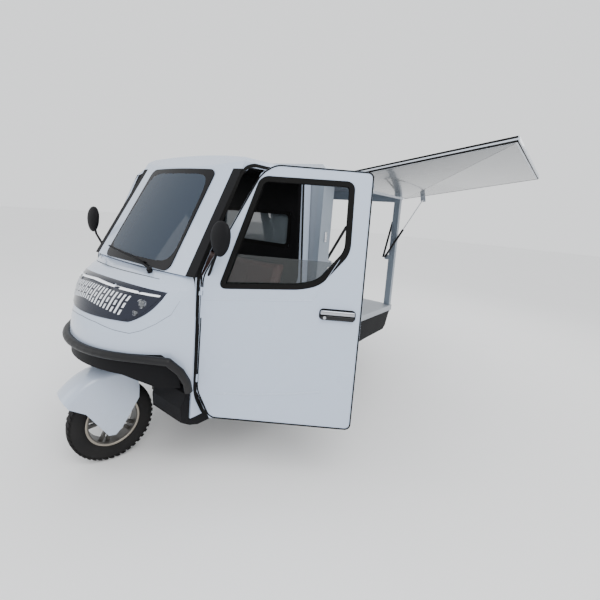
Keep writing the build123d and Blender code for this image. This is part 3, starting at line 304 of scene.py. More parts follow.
@dataclass(frozen=True)
class PaintWithDarkInside:
    """Body paint outside and black inside, told apart by depth under the cabin's skin: black trim, and
    painted shade over the cabin's inner faces and door jambs.
    """

    name: str
    colour: Colour = (0.45, 0.52, 0.64)
    # black of the inside: its trim, and painted shade of the cabin's interior
    trim_and_shade: Colour = (0.003, 0.003, 0.004)
    hinge: Point = (0.0, 0.0, 0.0)
    turn_deg: float = 0.0
    skin: float = 0.013
    half: float = 0.515
    waist: float = 1.0
    lean: float = 0.0507
    foot: tuple[float, float] = (0.822, 1.1)
    rake: float = 0.5229
    rake_cosine: float = 0.886
    screen_bow: float = 0.1286
    crown: float = 1.765
    roof_bow: float = 0.1276
    rear: float = -0.155
    brow: float = 0.050
    seal: float = 0.058
    seal_depth: float = 0.020
    seal_low: float = 1.098
    seal_high: float = 1.668

    def depths(self, tree: Tree) -> tuple[Wire, Wire, Wire]:
        """How far under the cabin's skin a point is, with its door shut.

        Args:
            tree: the material's tree.

        Returns:
            The least depth, the depth under the side and that under the screen, in metres.
        """
        where = tree.place()
        if self.turn_deg:
            where = tree.node("ShaderNodeVectorRotate", {"rotation_type": "Z_AXIS"},
                              {"Vector": where, "Center": self.hinge, "Angle": math.radians(self.turn_deg)})
        x = tree.axis("X", where)
        y = tree.axis("Y", where).size()
        z = tree.axis("Z", where)
        foot_x, foot_z = self.foot
        side = self.half - (z - self.waist).most(0.0) * self.lean - y
        screen = (foot_x - (z - foot_z) * self.rake - x) * self.rake_cosine - y * y * self.screen_bow
        roof = self.crown - y * y * self.roof_bow - z
        round_off = (self.brow - (roof - screen).size() * 0.6).most(0.0)
        return side.least(screen).least(roof).least(x - self.rear) - round_off, side, screen

    def material(self) -> bpy.types.Material:
        """The paint and its black inside, trim and painted shade, as a material."""
        tree = Tree(self.name)
        cloud = tree.noise(2.2, 4.0)
        least, side, screen = self.depths(tree)
        height = tree.axis("Z")
        pillar = (self.seal - side).above(0.0) * (self.seal_depth - screen).above(0.0)
        beside = (self.seal_high - height).above(0.0) * (height - self.seal_low).above(0.0)
        # inner marks the black inside: trim, and painted shade of the cabin's interior and door jambs
        inner = least.above(self.skin).most(pillar * beside)
        tone = tree.blend(cloud * 0.14, self.colour, tuple(0.88 * part for part in self.colour))
        tone = tree.blend(inner, tone, self.trim_and_shade)
        peel = tree.noise(420.0, 2.0)
        return tree.finish(Base_Color=tone, Roughness=0.24 + cloud * 0.08 + inner * 0.42,
                           Coat_Weight=0.6 - inner * 0.6, Coat_Roughness=0.06, IOR=1.5,
                           Specular_IOR_Level=0.2,
                           Normal=tree.relief(peel, 0.0006, 0.06))


@dataclass(frozen=True)
class Moulding:
    """Grained black or grey moulded plastic, greyer where it is rubbed."""

    name: str
    colour: Colour
    roughness: float = 0.55
    grain: float = 900.0
    depth: float = 0.0004
    wear: float = 0.25

    def material(self) -> bpy.types.Material:
        """The plastic as a material."""
        tree = Tree(self.name)
        cloud = tree.noise(5.0, 5.0)
        grain = tree.node("ShaderNodeTexVoronoi", {"feature": "F1"},
                          {"Vector": tree.place(), "Scale": self.grain})
        worn = tuple(min(1.0, 1.9 * part + 0.012) for part in self.colour)
        tone = tree.blend(cloud * self.wear, self.colour, worn)
        return tree.finish(Base_Color=tone, Roughness=self.roughness + cloud * 0.14 - 0.07, IOR=1.46,
                           Specular_IOR_Level=0.10, Normal=tree.relief(grain, self.depth, 0.30))


@dataclass(frozen=True)
class Metal:
    """Bare or plated metal, brushed along x and a little stained."""

    name: str
    colour: Colour
    roughness: float = 0.25
    metallic: float = 1.0
    brush: float = 0.0

    def material(self) -> bpy.types.Material:
        """The metal as a material."""
        tree = Tree(self.name)
        cloud = tree.noise(14.0, 5.0)
        lines = tree.noise(90.0, 4.0, (1.0, 14.0, 14.0))
        tone = tree.blend(cloud * 0.35, self.colour, tuple(0.7 * part for part in self.colour))
        rough = self.roughness + cloud * 0.12 + lines * self.brush - 0.04
        return tree.finish(Base_Color=tone, Roughness=rough, Metallic=self.metallic,
                           Normal=tree.relief(lines, 0.0004, 0.10 + self.brush))


@dataclass(frozen=True)
class Rubber:
    """Tyre and seal rubber with a dry bloom."""

    name: str
    colour: Colour = (0.018, 0.018, 0.019)
    roughness: float = 0.72
    bloom: float = 0.35

    def material(self) -> bpy.types.Material:
        """The rubber as a material."""
        tree = Tree(self.name)
        bloom = tree.noise(9.0, 6.0)
        fine = tree.noise(380.0, 3.0)
        tone = tree.blend(bloom * self.bloom, self.colour, (0.045, 0.042, 0.038))
        return tree.finish(Base_Color=tone, Roughness=self.roughness + bloom * 0.16 - 0.08,
                           Specular_IOR_Level=0.10, Normal=tree.relief(fine, 0.0005, 0.25))


@dataclass(frozen=True)
class Glass:
    """Tinted glazing that reflects more towards its edge-on view."""

    name: str
    colour: Colour
    cover: float
    edge: float

    def material(self) -> bpy.types.Material:
        """The glass as a material."""
        tree = Tree(self.name)
        facing = tree.node("ShaderNodeLayerWeight", inputs={"Blend": 0.35}, output="Fresnel")
        smear = tree.noise(3.0, 5.0, (1.0, 1.0, 2.6))
        return tree.finish(Base_Color=self.colour, Roughness=0.02 + smear * 0.05, IOR=1.52,
                           Alpha=self.cover + facing * self.edge, Coat_Weight=1.0, Coat_Roughness=0.02)


@dataclass(frozen=True)
class ScreenGlass:
    """The windscreen: clear glass with a black printed border that rounds its corners."""

    name: str
    half: float = 0.300
    taper: float = 0.034
    middle: float = 1.388
    reach: float = 0.245
    cover: float = 0.58

    def material(self) -> bpy.types.Material:
        """The glass and its border as a material."""
        tree = Tree(self.name)
        height = (tree.axis("Z") - self.middle) / self.reach
        across = tree.axis("Y").size() / (self.half - height * self.taper * 0.5)
        border = (across ** 7.0 + height.size() ** 7.0).above(1.0)
        facing = tree.node("ShaderNodeLayerWeight", inputs={"Blend": 0.30}, output="Fresnel")
        clear = self.cover + facing * 0.5
        tone = tree.blend(border, (0.030, 0.048, 0.075), (0.004, 0.004, 0.005))
        return tree.finish(Base_Color=tone, Roughness=0.04 + border * 0.18, IOR=1.50, Specular_IOR_Level=0.12,
                           Alpha=clear.most(border), Coat_Weight=0.55 - border * 0.55, Coat_Roughness=0.03)


@dataclass(frozen=True)
class Vinyl:
    """Seat vinyl with a leather grain."""

    name: str
    colour: Colour
    roughness: float = 0.48

    def material(self) -> bpy.types.Material:
        """The vinyl as a material."""
        tree = Tree(self.name)
        cloud = tree.noise(7.0, 5.0)
        grain = tree.node("ShaderNodeTexVoronoi", {"feature": "DISTANCE_TO_EDGE"},
                          {"Vector": tree.place(), "Scale": 420.0})
        tone = tree.blend(cloud * 0.6, self.colour, tuple(0.55 * part for part in self.colour))
        return tree.finish(Base_Color=tone, Roughness=self.roughness + cloud * 0.15 - 0.07,
                           Normal=tree.relief(grain, 0.0008, 0.45))


@dataclass(frozen=True)
class Glow:
    """A lit or ready-to-light diffuser."""

    name: str
    colour: Colour
    power: float = 0.6

    def material(self) -> bpy.types.Material:
        """The diffuser as a material."""
        tree = Tree(self.name)
        cloud = tree.noise(120.0, 2.0)
        tone = tree.blend(cloud * 0.2, self.colour, tuple(0.8 * part for part in self.colour))
        return tree.finish(Base_Color=tone, Roughness=0.25 + cloud * 0.1, Coat_Weight=0.8,
                           Emission_Color=tone, Emission_Strength=self.power)


@dataclass
class Finishes:
    """Every finish of the vehicle, made once and shared."""

    made: dict[str, bpy.types.Material] = field(default_factory=dict)
    kinds: tuple = (
        Paint("body_white", (0.45, 0.52, 0.64)),
        # cabin and door skins: paint outside, black trim and painted shade inside
        PaintWithDarkInside("cab_skin"),
        PaintWithDarkInside("door_skin_left", hinge=(0.740, 0.515, 0.0), turn_deg=55.0),
        PaintWithDarkInside("door_skin_right", hinge=(0.740, -0.515, 0.0), turn_deg=-20.0),
        ScreenGlass("screen_glass"),
        Paint("panel_white", (0.46, 0.50, 0.56), roughness=0.3, coat=0.35, dust=0.2),
        # dark grey painted shade for the raised panels' undersides and the slot along the roof's edge
        Paint("painted_shade_grey", (0.16, 0.17, 0.18), roughness=0.16, coat=0.7, dust=0.0),
        Paint("panel_grey", (0.22, 0.25, 0.29), roughness=0.4, coat=0.2),
        Paint("box_steel", (0.22, 0.26, 0.31), roughness=0.38, coat=0.3),
        Paint("tray_steel", (0.34, 0.37, 0.41), roughness=0.42, coat=0.2, dust=0.5, dust_top=0.9),
        Paint("chassis_black", (0.009, 0.009, 0.010), roughness=0.42, coat=0.06, dust=0.25, shine=0.2),
        Metal("axle_steel", (0.12, 0.12, 0.13), roughness=0.5, metallic=0.7),
        Metal("motor_alloy", (0.42, 0.43, 0.45), roughness=0.42),
        Moulding("black_plastic", (0.006, 0.006, 0.007), wear=0.12),
        Moulding("trim_dark", (0.014, 0.014, 0.016), roughness=0.62),
        Rubber("tyre_rubber", (0.010, 0.010, 0.011)),
        Rubber("seal_rubber", (0.003, 0.003, 0.003), 0.55, 0.05),
        Paint("rim_black", (0.022, 0.021, 0.020), roughness=0.32, coat=0.2, dust=0.2, shine=0.3),
        Metal("rim_lip", (0.30, 0.27, 0.23), roughness=0.34),
        Glass("door_glass", (0.02, 0.025, 0.025), cover=0.35, edge=0.6),
        Glass("rear_glass", (0.15, 0.18, 0.20), cover=0.82, edge=0.15),
        Glass("lamp_glass", (0.10, 0.11, 0.12), cover=0.75, edge=0.3),
        Metal("mirror_glass", (0.50, 0.53, 0.56), roughness=0.06),
        Paint("gloss_black", (0.005, 0.005, 0.006), roughness=0.12, coat=0.15, dust=0.0, shine=0.25),
        Paint("lamp_lens", (0.006, 0.009, 0.020), roughness=0.10, coat=0.22, dust=0.0, shine=0.3),
        Glow("lamp_red", (0.45, 0.012, 0.012), 0.15),
        Glow("led_white", (0.86, 0.89, 0.95), 0.35),
        Paint("bar_white", (0.78, 0.81, 0.86), roughness=0.25, coat=0.5, dust=0.0),
        Rubber("seam_dark", (0.10, 0.11, 0.12), 0.6, 0.1),
        Metal("handle_chrome", (0.42, 0.43, 0.46), roughness=0.10),
        Metal("rod_chrome", (0.66, 0.67, 0.70), roughness=0.16),
        Vinyl("seat_vinyl", (0.085, 0.030, 0.024)),
        Paint("plate_white", (0.72, 0.72, 0.70), roughness=0.4, coat=0.1),
    )

    def get(self, name: str) -> bpy.types.Material:
        """The material of one finish.

        Args:
            name: the finish's name.

        Returns:
            Its material.
        """
        if name not in self.made:
            self.made[name] = next(kind for kind in self.kinds if kind.name == name).material()
        return self.made[name]


@dataclass
class Shop:
    """Turns meshes into pieces of the vehicle and dresses its nodes."""

    frame: dict
    finishes: Finishes = field(default_factory=Finishes)

    def piece(self, name: str, mesh: bmesh.types.BMesh, finish: str, body: str, slot: Optional[str] = None,
              smooth: float = 35.0, bevel: float = 0.0) -> bpy.types.Object:
        """Make a finished object from a bmesh.

        Args:
            name: the piece's name.
            mesh: its mesh, freed afterwards.
            finish: its finish's name.
            body: the CAD body it rides on.
            slot: the record's material slot, if it differs from the finish; not used.
            smooth: edges sharper than this many degrees stay sharp.
            bevel: the width of its rounded edges in metres.

        Returns:
            The object.
        """
        data = bpy.data.meshes.new(name)
        mesh.to_mesh(data)
        mesh.free()
        item = bpy.data.objects.new(name, data)
        bpy.context.scene.collection.objects.link(item)
        data.materials.append(self.finishes.get(finish))
        data.shade_smooth()
        data.set_sharp_from_angle(angle=math.radians(smooth))
        if bevel:
            round_off = item.modifiers.new("Bevel", "BEVEL")
            round_off.width = bevel
            round_off.segments = 2
            round_off.limit_method = "ANGLE"
            round_off.angle_limit = math.radians(40)
            round_off.harden_normals = True
        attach(item, body)
        return item

    def dress(self, node: str, finish: str) -> None:
        """Give a CAD node one of the finishes.

        Args:
            node: the node's name.
            finish: the finish's name.
        """
        item = self.frame["nodes"][node]
        item.data.materials.clear()
        item.data.materials.append(self.finishes.get(finish))


CAD_FINISH = {
    "chassis": "chassis_black", "rear_axle": "axle_steel", "drive_motor": "motor_alloy",
    "rear_springs": "chassis_black", "battery_block": "black_plastic", "fork": "chassis_black",
    "tyre_front": "tyre_rubber", "tyre_rear_left": "tyre_rubber", "tyre_rear_right": "tyre_rubber",
    "rim_front": "rim_black", "rim_rear_left": "rim_black", "rim_rear_right": "rim_black",
    "mudguard": "body_white", "handlebar": "black_plastic", "bulkhead": "cab_skin",
    "windscreen_frame": "cab_skin", "windscreen": "screen_glass", "roof": "cab_skin",
    "rear_wall": "cab_skin", "rear_window": "rear_glass", "cab_floor": "black_plastic",
    "footwell": "black_plastic", "nose": "body_white", "lamp_unit": "lamp_lens",
    "valance": "black_plastic", "bumper_rail": "chassis_black", "door_left": "door_skin_left",
    "door_right": "door_skin_right", "door_glass_left": "door_glass", "door_glass_right": "door_glass",
    "door_handle_left": "handle_chrome", "door_handle_right": "handle_chrome", "wiper": "black_plastic",
    "mirrors": "black_plastic", "dashboard": "trim_dark", "seat_box": "trim_dark",
    "seat_cushion": "seat_vinyl", "seat_back": "seat_vinyl", "tray": "tray_steel",
    "box_frame": "box_steel", "box_front_wall": "panel_grey", "box_roof": "panel_white",
    "side_panel_left": "panel_white", "side_panel_right": "panel_white", "tailgate": "panel_white",
    "strut_tubes_side_left": "chassis_black", "strut_rods_side_left": "rod_chrome",
    "strut_tubes_side_right": "chassis_black", "strut_rods_side_right": "rod_chrome",
    "strut_tubes_tailgate": "chassis_black", "strut_rods_tailgate": "rod_chrome",
    "skirts": "black_plastic", "tail_lamps": "lamp_red", "plate": "plate_white",
}


def lay_flat(outline: Sequence[tuple[float, float]], corner: float, segments: int = 5) -> bmesh.types.BMesh:
    """Make one flat face in the XZ plane with rounded corners.

    Args:
        outline: its corners as x and z.
        corner: the radius of its corners.
        segments: how many edges round each corner.

    Returns:
        The mesh, one face.
    """
    mesh = bmesh.new()
    mesh.faces.new([mesh.verts.new((x, 0.0, z)) for x, z in outline])
    bmesh.ops.bevel(mesh, geom=mesh.verts[:], offset=corner, segments=segments, profile=0.5,
                    material=-1, affect="VERTICES")
    return mesh


def lay_ring(outline: Sequence[tuple[float, float]], corner: float, width: float,
             segments: int = 5) -> bmesh.types.BMesh:
    """Make a flat ring in the XZ plane inside an outline with rounded corners.

    Args:
        outline: its outer corners as x and z.
        corner: the radius of its outer corners.
        width: how wide the ring is.
        segments: how many edges round each corner.

    Returns:
        The mesh of the ring.
    """
    mesh = lay_flat(outline, corner, segments)
    inner = mesh.faces[:]
    bmesh.ops.inset_individual(mesh, faces=inner, thickness=width, use_even_offset=True)
    bmesh.ops.delete(mesh, geom=inner, context="FACES")
    return mesh


def thicken(mesh: bmesh.types.BMesh, along: Vector, amount: float) -> None:
    """Give a flat mesh a thickness along one direction.

    Args:
        mesh: the flat mesh.
        along: the direction.
        amount: how thick it becomes.
    """
    grown = bmesh.ops.extrude_face_region(mesh, geom=mesh.faces[:])["geom"]
    moved = [item for item in grown if isinstance(item, bmesh.types.BMVert)]
    bmesh.ops.translate(mesh, vec=along.normalized() * amount, verts=moved)
    face_out(mesh)


def face_out(mesh: bmesh.types.BMesh) -> None:
    """Make every face of a mesh point outwards."""
    bmesh.ops.recalc_face_normals(mesh, faces=mesh.faces[:])


def soften(mesh: bmesh.types.BMesh, offset: float, segments: int = 2, verts: Optional[list] = None) -> None:
    """Round all edges of a mesh, or only those at some of its vertices.

    Args:
        mesh: the mesh.
        offset: how far the rounding reaches from each edge.
        segments: how many faces lie across it.
        verts: the vertices whose edges are rounded, if not all.
    """
    edges = mesh.edges[:]
    if verts is not None:
        edges = list(dict.fromkeys(edge for vert in verts for edge in vert.link_edges))
    bmesh.ops.bevel(mesh, geom=edges, offset=offset, segments=segments, profile=0.5, material=-1,
                    affect="EDGES")


def join(mesh: bmesh.types.BMesh, other: bmesh.types.BMesh) -> None:
    """Add another mesh to a mesh, and free the other.

    Args:
        mesh: the mesh it joins.
        other: the mesh that is added.
    """
    data = bpy.data.meshes.new("joined")
    other.to_mesh(data)
    other.free()
    mesh.from_mesh(data)
    bpy.data.meshes.remove(data)


def turn(mesh: bmesh.types.BMesh, centre: Point, degrees: float, axis: str) -> None:
    """Turn a whole mesh about a line.

    Args:
        mesh: the mesh.
        centre: a point of the line.
        degrees: how far, by the right-hand rule.
        axis: the line's direction, X, Y or Z.
    """
    bmesh.ops.rotate(mesh, cent=centre, verts=mesh.verts[:],
                     matrix=Matrix.Rotation(math.radians(degrees), 3, axis))


def block(mesh: bmesh.types.BMesh, low: Point, high: Point) -> list:
    """Add a block between two opposite corners to a mesh.

    Args:
        mesh: the mesh it joins.
        low: one corner.
        high: the opposite corner.

    Returns:
        The block's vertices.
    """
    made = bmesh.ops.create_cube(mesh, size=1.0)["verts"]
    size = Vector([abs(far - near) for near, far in zip(low, high)])
    bmesh.ops.scale(mesh, vec=size, verts=made)
    bmesh.ops.translate(mesh, vec=(Vector(low) + Vector(high)) / 2, verts=made)
    return made


def tube(mesh: bmesh.types.BMesh, start: Point, end: Point, radius: float, far_radius: Optional[float] = None,
         sides: int = 16) -> list:
    """Add a round bar to a mesh.

    Args:
        mesh: the mesh it joins.
        start: the middle of one end.
        end: the middle of the other.
        radius: its radius at the start.
        far_radius: its radius at the end, if it tapers.
        sides: how many sides it has.

    Returns:
        The bar's vertices.
    """
    reach = Vector(end) - Vector(start)
    middle = (Vector(start) + Vector(end)) / 2
    place = Matrix.Translation(middle) @ reach.to_track_quat("Z", "Y").to_matrix().to_4x4()
    return bmesh.ops.create_cone(mesh, cap_ends=True, segments=sides, radius1=radius,
                                 radius2=radius if far_radius is None else far_radius,
                                 depth=reach.length, matrix=place)["verts"]


@dataclass
class Cabin:
    """The cabin's and the doors' seals, pressings and handles."""

    shop: Shop
    half: float = 0.515
    waist: float = 1.0
    lean: float = 0.0507
    hinge_x: float = 0.740
    doors: tuple = (
        # side, body, how far each stands open in degrees about +Z
        (Side.LEFT, "left_door", -55.0),
        (Side.RIGHT, "right_door", 20.0),
    )
    window: tuple = ((0.643, 1.064), (0.478, 1.600), (0.043, 1.612), (0.043, 1.280), (0.167, 1.126),
                     (0.254, 1.100))
    edge: tuple = ((0.738, 0.517), (0.738, 1.105), (0.490, 1.629), (0.420, 1.680), (-0.062, 1.680),
                   (-0.062, 1.000), (-0.062, 0.372), (0.666, 0.372))
    doorway: tuple = ((0.737, 0.520), (0.737, 1.105), (0.490, 1.626), (0.420, 1.677), (-0.060, 1.677),
                      (-0.060, 1.000), (-0.060, 0.374), (0.668, 0.374))
    rear_window: tuple = ((-0.365, 1.205), (0.365, 1.205), (0.365, 1.465), (-0.365, 1.465))
    rear_face: float = -0.1120
    handle_start: float = 0.778

    def side(self, z: float) -> float:
        """The cabin's half width at a height."""
        return self.half - max(z - self.waist, 0.0) * self.lean

    def onto_side(self, mesh: bmesh.types.BMesh, side: Side, lift: float) -> None:
        """Move a mesh drawn in the XZ plane onto one side of the cabin.

        Args:
            mesh: the mesh, with y as its height over the skin.
            side: which side.
            lift: how far proud of the skin it stands.
        """
        for vert in mesh.verts:
            vert.co.y = side.value * (self.side(vert.co.z) + lift + vert.co.y)
        face_out(mesh)

    def open_door(self, mesh: bmesh.types.BMesh, side: Side, degrees: float) -> None:
        """Swing a mesh made on a shut door to where the door stands."""
        turn(mesh, (self.hinge_x, side.value * self.half, 0.0), degrees, "Z")

    def window_seals(self, side: Side, body: str, degrees: float) -> None:
        """Black rubber round a door's window, outside and inside.

        Args:
            side: which door.
            body: the door's body.
            degrees: how far it stands open.
        """
        for face, lift in (("outer", 0.0006), ("inner", -0.0416)):
            mesh = lay_ring(self.grown(self.window, 0.018), 0.040, 0.027)
            thicken(mesh, Vector((0, 1, 0)), 0.0016)
            self.onto_side(mesh, side, lift)
            self.open_door(mesh, side, degrees)
            self.shop.piece(f"window_seal_{face}_{side.name.lower()}", mesh, "seal_rubber", body,
                            "black_plastic")

    @staticmethod
    def grown(outline: Sequence[tuple[float, float]], amount: float) -> list[tuple[float, float]]:
        """Move each corner of an outline away from its middle.

        Args:
            outline: the corners as x and z.
            amount: how far each corner moves.

        Returns:
            The moved corners.
        """
        middle_x = (min(x for x, _ in outline) + max(x for x, _ in outline)) / 2
        middle_z = (min(z for _, z in outline) + max(z for _, z in outline)) / 2
        moved = []
        for x, z in outline:
            away = Vector((x - middle_x, z - middle_z)).normalized() * amount * 1.3
            moved.append((x + away.x, z + away.y))
        return moved

    def pressings(self, side: Side, body: str, degrees: float) -> None:
        """The crease over a door's skin and the long low swage under it.

        Args:
            side: which door.
            body: the door's body.
            degrees: how far it stands open.
        """
        hinge = self.hinge_x
        lines = (
            # name, points as x and z, width, height
            ("crease", ((hinge - 0.012, 0.988), (hinge - 0.552, 1.028), (hinge - 0.671, 1.243)),
             0.010, 0.0022),
            ("swage", ((hinge - 0.104, 0.507), (hinge - 0.280, 0.516), (hinge - 0.460, 0.534),
                       (hinge - 0.632, 0.562)), 0.016, 0.0024),
        )
        for name, points, width, height in lines:
            mesh = bmesh.new()
            for start, end in zip(points, points[1:]):
                run = Vector((end[0] - start[0], end[1] - start[1]))
                sideways = Vector((-run.y, run.x)).normalized() * width / 2
                corners = ((start, 1), (end, 1), (end, -1), (start, -1))
                low = [mesh.verts.new((spot[0] + way * sideways.x, 0.0, spot[1] + way * sideways.y))
                       for spot, way in corners]
                ridge = [mesh.verts.new((x, height, z)) for x, z in (start, end)]
                mesh.faces.new((low[0], low[1], ridge[1], ridge[0]))
                mesh.faces.new((ridge[0], ridge[1], low[2], low[3]))
            bmesh.ops.remove_doubles(mesh, verts=mesh.verts[:], dist=0.0005)
            self.onto_side(mesh, side, 0.0004)
            self.open_door(mesh, side, degrees)
            self.shop.piece(f"door_{name}_{side.name.lower()}", mesh, "body_white", body, "body_white",
                            smooth=60.0)

    def doorway_seals(self, side: Side) -> None:
        """The black rubber that frames a doorway.

        Args:
            side: which doorway.
        """
        mesh = lay_ring(self.grown(self.doorway, 0.026), 0.045, 0.019)
        thicken(mesh, Vector((0, 1, 0)), 0.0026)
        self.onto_side(mesh, side, 0.0004)
        self.shop.piece(f"doorway_seal_{side.name.lower()}", mesh, "seal_rubber", "root", "black_plastic")

    def handles(self, side: Side, body: str, degrees: float) -> None:
        """The lever, a flat black patch of painted shade for its recess, and the lock of a door's handle.

        Args:
            side: which door.
            body: the door's body.
            degrees: how far it stands open.
        """
        rear = self.hinge_x - self.handle_start
        name = side.name.lower()
        # a flat black patch on the skin, painted shade where the handle's recess would be
        recess_shade = lay_flat(((rear + 0.004, 0.938), (rear + 0.186, 0.938), (rear + 0.186, 0.996),
                           (rear + 0.004, 0.996)), 0.020)
        thicken(recess_shade, Vector((0, 1, 0)), 0.0012)
        self.onto_side(recess_shade, side, 0.0004)
        lever = bmesh.new()
        block(lever, (rear + 0.010, 0.010, 0.968), (rear + 0.180, 0.021, 0.990))
        grip = bmesh.new()
        block(grip, (rear + 0.012, 0.002, 0.942), (rear + 0.178, 0.016, 0.964))
        lock = bmesh.new()
        tube(lock, (rear + 0.158, 0.010, 0.953), (rear + 0.158, 0.019, 0.953), 0.009, 0.008, 20)
        for mesh in (lever, grip):
            soften(mesh, 0.005, 3)
        for mesh in (lever, grip, lock):
            self.onto_side(mesh, side, 0.0)
        for mesh, title, finish, slot in ((recess_shade, "recess_shade", "black_plastic", "black_plastic"),
                                          (lever, "lever", "handle_chrome", "handle_chrome"),
                                          (grip, "grip", "gloss_black", "black_plastic"),
                                          (lock, "lock", "handle_chrome", "handle_chrome")):
            self.open_door(mesh, side, degrees)
            item = self.shop.piece(f"handle_{title}_{name}", mesh, finish, body, slot)
            if title == "recess_shade":
                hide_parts(f"door_handle_{name}")

    def edge_seals(self, side: Side, body: str, degrees: float) -> None:
        """The rubber round a door's outer edge.

        Args:
            side: which door.
            body: the door's body.
            degrees: how far it stands open.
        """
        mesh = lay_ring(self.edge, 0.030, 0.0065)
        thicken(mesh, Vector((0, 1, 0)), 0.0022)
        self.onto_side(mesh, side, 0.0003)
        self.open_door(mesh, side, degrees)
        self.shop.piece(f"door_edge_{side.name.lower()}", mesh, "seal_rubber", body, "black_plastic")

    def rear_window_seal(self) -> None:
        """The rubber round the window behind the driver."""
        mesh = lay_ring(self.rear_window, 0.050, 0.026)
        thicken(mesh, Vector((0, 1, 0)), 0.003)
        turn(mesh, (0.0, 0.0, 0.0), 90.0, "Z")
        bmesh.ops.translate(mesh, vec=(self.rear_face, 0.0, 0.0), verts=mesh.verts[:])
        face_out(mesh)
        self.shop.piece("rear_window_seal", mesh, "seal_rubber", "root", "black_plastic")

    def build(self) -> None:
        """Make everything on the cabin."""
        for side, body, degrees in self.doors:
            self.window_seals(side, body, degrees)
            self.pressings(side, body, degrees)
            self.handles(side, body, degrees)
            self.edge_seals(side, body, degrees)
            self.doorway_seals(side)
        self.rear_window_seal()
        LOG.info("cabin seals, pressings and handles")


